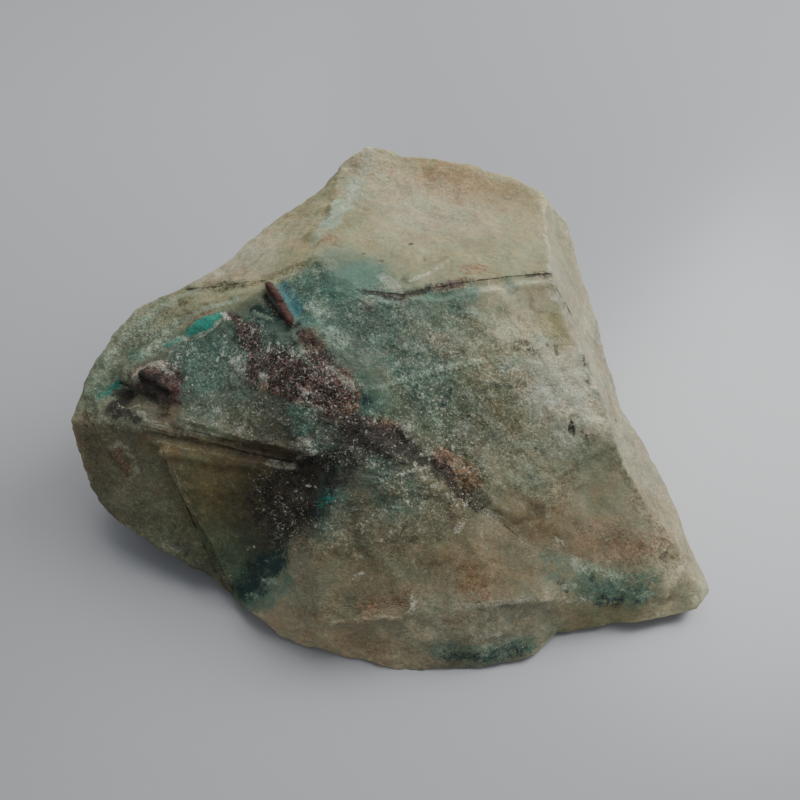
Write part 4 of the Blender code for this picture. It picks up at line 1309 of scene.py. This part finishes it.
@dataclass(frozen=True)
class StoneFinish:
    """The whole stone's material, from body tint to white grains, with painted shade in the hollows and
    painted glints among the grains.
    """

    name: str = "chrysocolla_rock"
    roughness: tuple[float, float] = (0.5, 0.8)
    gloss: float = 0.3
    tone: Waves = Waves(1.8, 5.0, 0.7)
    tone_slope: Slope = (1.6, 0.2)
    speck_slope: Slope = (1.9, 0.2)
    haze: float = 0.32
    haze_kept_off: float = 0.85
    haze_colour: Triple = (140, 144, 128)
    fray: Waves = Waves(1.6, 5.0, 0.65)
    fray_swing: float = 1.6
    worn_band: Band = (0.3, 1.0)
    worn_gain: float = 1.5
    # painted shade in the hollows: where it begins and ends, how strong it is, and its colour
    hollow_shade_band: Band = (-0.35, -1.0)
    hollow_shade_depth: float = 0.5
    hollow_shade_colour: Triple = (44, 40, 32)
    seam_and_shadow_colour: Triple = (44, 33, 27)
    seam_wander: float = 0.34
    seam_depth: float = 1.2
    rim_colour: Triple = (176, 172, 148)
    rim_wander: float = 0.8
    rim_band: Band = (0.1, 0.7)
    plate_sizes: tuple[float, ...] = (6.5, 3.2, 1.4)
    plate_contrast: float = 0.13
    plate_dust: Slope = (0.8, 0.1)
    plate_rise: float = 0.9
    grain_size: float = 0.38
    grain_power: float = 2.0
    grain_mean: float = 0.33
    grain_contrast: float = 0.95
    grain_rise: float = 0.5
    fleck_and_glint_colour: Triple = (196, 198, 182)
    fleck_dust: Slope = (0.80, 0.05)
    fleck_glint: Slope = (0.75, 0.25)
    fleck_rise: float = 0.35
    bumps: Waves = Waves(1.3, 5.0, 0.65)
    bumps_dust: Slope = (0.65, 0.35)
    bump_height: float = 0.00030

    def make(self) -> bpy.types.Material:
        """Build the node tree: the layers of colour from the body up, the shine and the bump."""
        material = bpy.data.materials.new(self.name)
        material.use_nodes = True
        sheet = NodeSheet(material.node_tree)
        shader = material.node_tree.nodes["Principled BSDF"]
        shader.inputs["Specular IOR Level"].default_value = self.gloss
        vector = sheet.scaled(sheet.add("TexCoord", {})["Object"], 1 / MM)
        grain = sheet.group(SugarGrain().build(), {"Vector": vector, "Size": self.grain_size})
        ground = Ground(sheet, vector, sheet.number("dust"), grain)
        flecks = sheet.group(PaleFlecksAndGlints().build(), {"Vector": vector, "Dust": ground.dust})
        plate = BrokenPlates().build()
        plates = [sheet.group(plate, {"Vector": vector, "Size": size}) for size in self.plate_sizes]
        line = ThinLine().build()
        # the seams are dark cracks and folds, and painted shadow beside the olive face and the copper rod
        seams = self.thin_lines(ground, line, SEAMS, self.seam_wander)
        rims = self.thin_lines(ground, line, RIMS, self.rim_wander)
        rims = rims * sheet.between(grain["Pick"], *self.rim_band)
        # painted glints: the pale flecks are partly white grains and partly glints, some brighter than
        # others
        spots = sheet.math("MAXIMUM", flecks["Flecks"], flecks["Hairs"])
        spots = spots * sloped(ground.dust, self.fleck_dust) * sloped(grain["Pick"], self.fleck_glint)
        colour = self.stained(ground, self.body(ground))
        colour = self.hazed(ground, colour, flecks["Haze"])
        colour = self.worn(ground, colour)
        colour = ground.laid(rims, colour, self.rim_colour)
        colour = ground.laid(seams, colour, self.seam_and_shadow_colour)
        colour = self.grained(ground, self.shaded(ground, colour, plates))
        colour = ground.laid(spots, colour, self.fleck_and_glint_colour)
        sheet.feed(shader.inputs["Base Color"], colour)
        low, high = self.roughness
        sheet.feed(shader.inputs["Roughness"], grain["Pick"] * (high - low) + low)
        height = self.height(ground, plates) - seams * self.seam_depth + spots * self.fleck_rise
        bump = sheet.add("Bump", {"Height": height, "Distance": self.bump_height, "Strength": 1.0})
        sheet.feed(shader.inputs["Normal"], bump[0])
        return material

    @staticmethod
    def thin_lines(ground: Ground, line: bpy.types.NodeTree, names: Iterable[str], stray: float) -> Wire:
        """Where any thin line of the named sets shows.

        Args:
            ground: what every layer starts from.
            line: the group that makes a thin line.
            names: the sets of lines.
            stray: how much of the group's own swing the lines wander by.

        Returns:
            The lines' mask.
        """
        sheet = ground.sheet
        shown: Feed = 0.0
        for name in names:
            feeds = {part: sheet.number(f"{name}_{part.lower()}") for part in ("Side", "Fill", "Width")}
            mask = sheet.group(line, {"Vector": ground.vector, "Wander": stray, **feeds})["Mask"]
            shown = sheet.math("MAXIMUM", shown, mask)
        return shown

    @staticmethod
    def body(ground: Ground) -> Wire:
        """The rock's own tints, mottled."""
        tint = ground.sheet.add("Attribute", {}, attribute_name="body")["Color"]
        feeds = {"Vector": ground.vector, "Colour": tint, "Dust": ground.dust}
        return ground.sheet.group(Mottle().build(), feeds)["Colour"]

    def stained(self, ground: Ground, colour: Wire) -> Wire:
        """The colour with every mineral's stain laid over it in order."""
        sheet, grain = ground.sheet, ground.grain
        edge = StainEdge().build()
        tone = sloped(sheet.noise(ground.vector, self.tone), self.tone_slope)
        speckled = tone * sloped(grain["Lightness"], self.speck_slope)
        for mineral, look in MINERAL_LOOKS.items():
            feeds = {
                "Vector": ground.vector, "Amount": sheet.number("stain_" + mineral.value),
                "Size": look.size, "Grain": grain["Pick"], "Ragged": look.ragged, "Soft": look.soft,
            }
            mask = sheet.group(edge, feeds)["Mask"]
            laid = sheet.scaled(srgb(*look.colour), speckled if look.grainy else tone)
            colour = sheet.mixed(mask * look.cover, colour, laid)
        return colour

    def hazed(self, ground: Ground, colour: Wire, cloud: Wire) -> Wire:
        """The colour under a haze that is thickest in the dust and thinnest on the dark crusts."""
        sheet = ground.sheet
        crusts = [sheet.number("stain_" + mineral.value) for mineral in DARK_CRUSTS]
        bare = 1.0 - sheet.math("MINIMUM", sheet.math("MAXIMUM", *crusts), self.haze_kept_off)
        return ground.laid(cloud * (ground.dust * self.haze) * bare, colour, self.haze_colour)

    def worn(self, ground: Ground, colour: Wire) -> Wire:
        """The colour with pale worn edges and painted shade darkening the hollows, both frayed by noise.
        """
        sheet = ground.sheet
        frayed = sheet.number("wear_and_hollow_shade") + sheet.sway(ground.vector, self.fray) * self.fray_swing
        edge = sheet.between(frayed, *self.worn_band)
        colour = sheet.mixed(edge, colour, sheet.scaled(colour, self.worn_gain))
        # painted shade: the hollows are darkened
        hollow = sheet.between(frayed, *self.hollow_shade_band) * self.hollow_shade_depth
        return ground.laid(hollow, colour, self.hollow_shade_colour)

    def shaded(self, ground: Ground, colour: Wire, plates: list[Placed]) -> Wire:
        """The colour with each broken plate a little lighter or darker."""
        swing = sum((plate["Lightness"] for plate in plates), -MIDDLE * len(plates))
        swing = swing * self.plate_contrast * sloped(ground.dust, self.plate_dust)
        return ground.sheet.scaled(colour, swing + 1.0)

    def grained(self, ground: Ground, colour: Wire) -> Wire:
        """The colour with each sugary grain lighter or darker."""
        lightness = ground.sheet.math("POWER", ground.grain["Lightness"], self.grain_power)
        swing = (lightness - self.grain_mean) * ground.dust * self.grain_contrast
        return ground.sheet.scaled(colour, swing + 1.0)

    def height(self, ground: Ground, plates: list[Placed]) -> Wire:
        """The height of the grains, the small bumps and the broken plates."""
        sheet = ground.sheet
        height = ground.grain["Height"] * self.grain_rise + sheet.noise(ground.vector, self.bumps)
        steps = sum((plate["Height"] for plate in plates), 0.0)
        steps = steps * (sheet.number("broken") * self.plate_rise)
        return height * sloped(ground.dust, self.bumps_dust) + steps


@dataclass(frozen=True)
class FloorFinish:
    """A plain pale floor with a faint shine."""

    name: str = "pale_floor"
    colour: Triple = (153, 154, 157)
    roughness: float = 0.30

    def make(self) -> bpy.types.Material:
        """Build the material."""
        material = bpy.data.materials.new(self.name)
        material.use_nodes = True
        shader = material.node_tree.nodes["Principled BSDF"]
        shader.inputs["Base Color"].default_value = (*srgb(*self.colour), 1.0)
        shader.inputs["Roughness"].default_value = self.roughness
        return material


# ---------------------------------------------------------------- the stone


class Chunk:
    """The one piece: the whole stone, with its shape, tints and stains."""

    NAME = "raw_chrysocolla_stone"
    NORMAL_REACH = 0.5  # how far a normal may turn before a body tint fades
    SMOOTHINGS = 2  # how many times the surface is averaged to find what stands proud
    PROUD = 0.30  # millimetres above its surroundings at which an edge counts as worn
    NEAR_MISS = 2.5  # millimetres by which a place named in the view may lie off the stone
    LEAST_DUST = 0.2  # how thick the pale grains are where nothing else is said
    ROUGH_DUST = 0.35  # how much thicker they are on the rough side
    FAR_SIDE = 5.0  # millimetres from a seam at which nothing of it shows
    SEAM_LIMIT = 2.2  # millimetres from a seam beyond which its fill is none
    FULL_TO = 0.6  # the share of a mark's reach up to which it has its whole amount
    NONE_FROM = 1.4  # the share of its reach from which it has none
    DARK_POROUS = 0.6  # how porous the dark crust is, where the brown crust is 1
    DUST_BREAKS = 0.7  # how much the white grains break the surface up
    CRUMBS_BREAK = 0.35  # how much the crumbling does

    def __init__(self, view: View, form: StoneForm) -> None:
        """Keep the view that the places are named in, and the form."""
        self.view = view
        self.form = form
        self.points = np.empty((0, 3))
        self.quads = np.empty((0, 4), int)
        self.normals = np.empty((0, 3))
        self.plain = np.empty((0, 3))
        self.directions = np.empty((0, 3))
        self.crumbled = np.empty(0)
        self.stains: dict[Mineral, np.ndarray] = {}
        self.tree: BVHTree | None = None

    def build(self) -> bpy.types.Object:
        """Work out the surface and make the mesh.

        The cage, worn and roughened, gives the coarse surface. It is moved over the solid's box, the
        places named in the view are found on it, and the fine relief is added along the radius.
        """
        form = self.form
        cube, self.quads = form.cube_grid()
        self.directions = directions = form.directions(cube)
        worn = form.worn_radius(directions)
        surface = directions * worn[:, None]
        self.normals = self.vertex_normals(surface)
        coarse = worn + form.uneven_relief(surface, directions) + form.named_relief(surface, directions)
        to_floor = np.full(len(coarse), np.inf)
        down = directions[:, 2] < 0
        to_floor[down] = -form.heart[2] / directions[down, 2]
        self.plain = directions * coarse[:, None]
        self.points = directions * np.minimum(coarse, to_floor)[:, None] + form.heart
        low, high = (np.array(corner) / MM for corner in CAD_BOX)
        middle = (self.points.min(axis=0) + self.points.max(axis=0)) / 2
        moved = np.append(((low + high) / 2 - middle)[:2], 0)
        self.points += moved
        self.tree = BVHTree.FromPolygons(self.points.tolist(), self.quads.tolist())
        self.stains = {mineral: self.most(text) for mineral, text in STAINS.items()}
        porous = np.maximum(self.stains[Mineral.BROWN], self.DARK_POROUS * self.stains[Mineral.DARK])
        self.crumbled = self.most(CRUMBLING)
        fine = coarse + form.fine_relief(surface, directions, self.crumbled, porous)
        fine += self.placed_relief()
        self.points = directions * np.minimum(fine, to_floor)[:, None] + form.heart + moved
        mesh = bpy.data.meshes.new(self.NAME)
        mesh.from_pydata(self.points * MM, [], self.quads)
        mesh.shade_smooth()
        stone = bpy.data.objects.new(self.NAME, mesh)
        bpy.context.scene.collection.objects.link(stone)
        self.colour_in(mesh)
        return stone

    def placed_relief(self) -> np.ndarray:
        """The lines and spots named in the view, each a rounded bump across its reach."""
        relief = np.zeros(len(self.points))
        for mark in map(Mark.read, FINE_RELIEF.values()):
            relief += mark.amount * rounded_bump(self.away(mark), mark.reach)
        return relief

    def vertex_normals(self, points: np.ndarray) -> np.ndarray:
        """Each vertex's normal: the sum of its squares' diagonal cross products, made length 1."""
        first, second, third, fourth = (points[self.quads[:, column]] for column in range(4))
        facing = np.cross(third - first, fourth - second)
        total = np.zeros_like(points)
        for column in range(4):
            np.add.at(total, self.quads[:, column], facing)
        return unit(total)

    def around(self, values: np.ndarray) -> np.ndarray:
        """The mean of each vertex's neighbours."""
        total = np.zeros_like(values)
        count = np.zeros(len(values))
        for column in range(4):
            here, there = self.quads[:, column], self.quads[:, (column + 1) % 4]
            for start, end in ((here, there), (there, here)):
                np.add.at(total, start, values[end])
                np.add.at(count, start, 1)
        return total / count[:, None]

    def proudness(self) -> np.ndarray:
        """How far each vertex stands out (+) or in (-), from -1 to 1."""
        level = self.plain
        for _ in range(self.SMOOTHINGS):
            level = self.around(level)
        height = ((self.plain - level) * self.vertex_normals(self.plain)).sum(axis=1)
        return np.clip(height / self.PROUD, -1, 1)

    def on_stone(self, pixel: Pixel) -> np.ndarray:
        """The place on the stone that the camera sees at a pixel, in millimetres.

        A line of sight that just misses the stone gives the vertex that it passes nearest.

        Args:
            pixel: the place in the view.

        Returns:
            The place in space.
        """
        ray = self.view.ray(pixel)
        place, _, _, _ = self.tree.ray_cast(Vector(self.view.eye), Vector(ray))
        if place is not None:
            return np.array(place)
        missed_by = np.linalg.norm(np.cross(self.points - self.view.eye, ray), axis=1)
        nearest = missed_by.argmin()
        if missed_by[nearest] > self.NEAR_MISS:
            raise ValueError(f"the view shows no stone at {pixel}")
        return self.points[nearest]

    def found(self, spot: Spot) -> np.ndarray:
        """The place of a pixel, or of the vertex nearest a place in millimetres."""
        if len(spot) == 2:
            return self.on_stone(spot)
        return self.points[self.nearest(np.array(spot))]

    def nearest(self, place: np.ndarray) -> int:
        """The number of the vertex nearest a place."""
        return int(((self.points - place) ** 2).sum(axis=1).argmin())

    def body_colours(self) -> np.ndarray:
        """The body tints blended: each counts by exp(-(distance / reach)^2 - (turn / limit)^2)."""
        powers, colours = [], []
        for entry in "|".join(BODY_TINTS.values()).split("|"):
            tint, reach, *words = entry.split()
            for spot in read_spots(words):
                vertex = self.nearest(self.found(spot))
                away = np.linalg.norm(self.points - self.points[vertex], axis=1) / float(reach)
                turn = np.linalg.norm(self.normals - self.normals[vertex], axis=1) / self.NORMAL_REACH
                powers.append(-(away**2) - turn**2)
                colours.append(srgb(*Tint[tint].value))
        shares = np.exp(np.array(powers) - np.max(powers, axis=0))
        blended = shares.T @ np.array(colours) / shares.sum(axis=0)[:, None]
        return np.hstack([blended, np.ones((len(blended), 1))])

    def away(self, mark: Mark) -> np.ndarray:
        """Each vertex's distance from a mark's line."""
        return distance_to_line(self.points, np.array([self.found(spot) for spot in mark.line]))

    def amount(self, mark: Mark) -> np.ndarray:
        """How much of a mark each vertex has, falling in a straight line across its edge."""
        fade = (self.NONE_FROM * mark.reach - self.away(mark)) / (
            (self.NONE_FROM - self.FULL_TO) * mark.reach
        )
        return mark.amount * np.clip(fade, 0, 1)

    def most(self, text: str) -> np.ndarray:
        """The most that any mark of a text gives each vertex."""
        return np.max([self.amount(mark) for mark in Mark.read_all(text)], axis=0)

    def seam_sides(self, seams: str) -> tuple[np.ndarray, np.ndarray, np.ndarray]:
        """Each vertex's place beside the nearest seam.

        Args:
            seams: the marks of a set of seams.

        Returns:
            The offset across the seam, its half width, and its fill, 0 beyond the limit.
        """
        side = np.full(len(self.points), self.FAR_SIDE)
        widths = np.zeros(len(self.points))
        fill = np.zeros(len(self.points))
        nearest = np.full(len(self.points), np.inf)
        for mark in Mark.read_all(seams):
            places = [self.found(spot) for spot in mark.line]
            source = self.view.eye if len(mark.line[0]) == 2 else self.form.heart
            for start, end in zip(places, places[1:]):
                stretch = end - start
                share = np.clip((self.points - start) @ stretch / (stretch @ stretch), 0, 1)
                offset = self.points - start - share[:, None] * stretch
                across = unit(np.cross(start - source, stretch))
                away = np.linalg.norm(offset, axis=1)
                closer = away < nearest
                nearest[closer] = away[closer]
                side[closer] = (offset @ across)[closer]
                widths[closer] = mark.reach
                fill[closer] = mark.amount * np.clip(self.SEAM_LIMIT - away, 0, 1)[closer]
        return side, widths, fill

    def colour_in(self, mesh: bpy.types.Mesh) -> None:
        """Store body tint, stains, dust, and the wear and hollows that the painted hollow shade follows,
        as attributes of the mesh.
        """
        body = mesh.attributes.new("body", "FLOAT_COLOR", "POINT")
        body.data.foreach_set("color", self.body_colours().astype(np.float32).ravel())
        for mineral, amount in self.stains.items():
            self.store(mesh, "stain_" + mineral.value, amount)
        for name, seams in (SEAMS | RIMS).items():
            side, width, fill = self.seam_sides(seams)
            self.store(mesh, name + "_side", side)
            self.store(mesh, name + "_width", width)
            self.store(mesh, name + "_fill", fill)
        kept = 1 - self.most(CLEAN_PLACES)
        rough = np.clip(self.directions @ np.array(self.form.rough_side), 0, 1)
        dusty = np.maximum(self.most(DUSTS), self.LEAST_DUST + self.ROUGH_DUST * rough) * kept
        self.store(mesh, "dust", dusty)
        proud = self.proudness()
        # above zero it is wear on proud edges; below zero it marks hollows that get painted shade
        self.store(mesh, "wear_and_hollow_shade", np.where(proud > 0, proud * kept, proud))
        broken = self.DUST_BREAKS * dusty + self.CRUMBS_BREAK * self.crumbled + rough
        self.store(mesh, "broken", broken)

    @staticmethod
    def store(mesh: bpy.types.Mesh, name: str, values: np.ndarray) -> None:
        """Keep one number for each vertex."""
        mesh.attributes.new(name, "FLOAT", "POINT").data.foreach_set("value", values.astype(np.float32))

    def dress(self, stone: bpy.types.Object, finish: StoneFinish) -> None:
        """Give the stone its material, its body and its place in the model."""
        stone.data.materials.append(finish.make())
        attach(stone, "root")
        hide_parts(CAD_NODE)


# ---------------------------------------------------------------- the studio


@dataclass(frozen=True)
class Lamp:
    """A square lamp: its place and size in metres, and its power in watts."""

    name: str
    place: Triple
    size: float
    power: float
    target: Triple = (0.0, 0.0, 0.02)

    def make(self) -> bpy.types.Object:
        """Create the lamp, looking at its target."""
        light = bpy.data.lights.new(self.name, "AREA")
        light.energy = self.power
        light.size = self.size
        lamp = bpy.data.objects.new(self.name, light)
        bpy.context.scene.collection.objects.link(lamp)
        lamp.location = self.place
        aim = Vector(self.target) - Vector(self.place)
        lamp.rotation_euler = aim.to_track_quat("-Z", "Y").to_euler()
        return lamp


@dataclass(frozen=True)
class Studio:
    """A pale floor under soft light."""

    floor_half: float = 4.0
    sky: Triple = (0.92, 0.96, 1.0)
    sky_strength: float = 0.445
    lamps: tuple[Lamp, ...] = (
        Lamp("key", (0.34, 0.34, 0.44), 0.40, 3.6),
        Lamp("top", (0.05, 0.35, 0.85), 0.80, 3.9),
        Lamp("fill", (-0.30, 0.50, 0.50), 0.50, 1.0),
    )

    def build(self) -> bpy.types.Object:
        """Lay the floor and hang the lamps."""
        half = self.floor_half
        mesh = bpy.data.meshes.new("floor")
        corners = [(-half, -half, 0), (half, -half, 0), (half, half, 0), (-half, half, 0)]
        mesh.from_pydata(corners, [], [(0, 1, 2, 3)])
        floor = bpy.data.objects.new("floor", mesh)
        bpy.context.scene.collection.objects.link(floor)
        floor.data.materials.append(FloorFinish().make())
        world = bpy.data.worlds.new("studio")
        world.use_nodes = True
        background = world.node_tree.nodes["Background"]
        background.inputs["Color"].default_value = (*self.sky, 1.0)
        background.inputs["Strength"].default_value = self.sky_strength
        bpy.context.scene.world = world
        for lamp in self.lamps:
            lamp.make()
        return floor


def main() -> None:
    """Build the view, the studio and the stone."""
    logging.basicConfig(level=logging.INFO, format="%(name)s: %(message)s")
    view = View()
    view.make_camera()
    LOG.info("camera at %s mm", view.eye)
    Studio().build()
    LOG.info("floor and lamps")
    chunk = Chunk(view, StoneForm())
    stone = chunk.build()
    LOG.info("%s: %d faces", stone.name, len(stone.data.polygons))
    chunk.dress(stone, StoneFinish())
    LOG.info("%s dressed", stone.name)


if __name__ == "__main__":
    main()
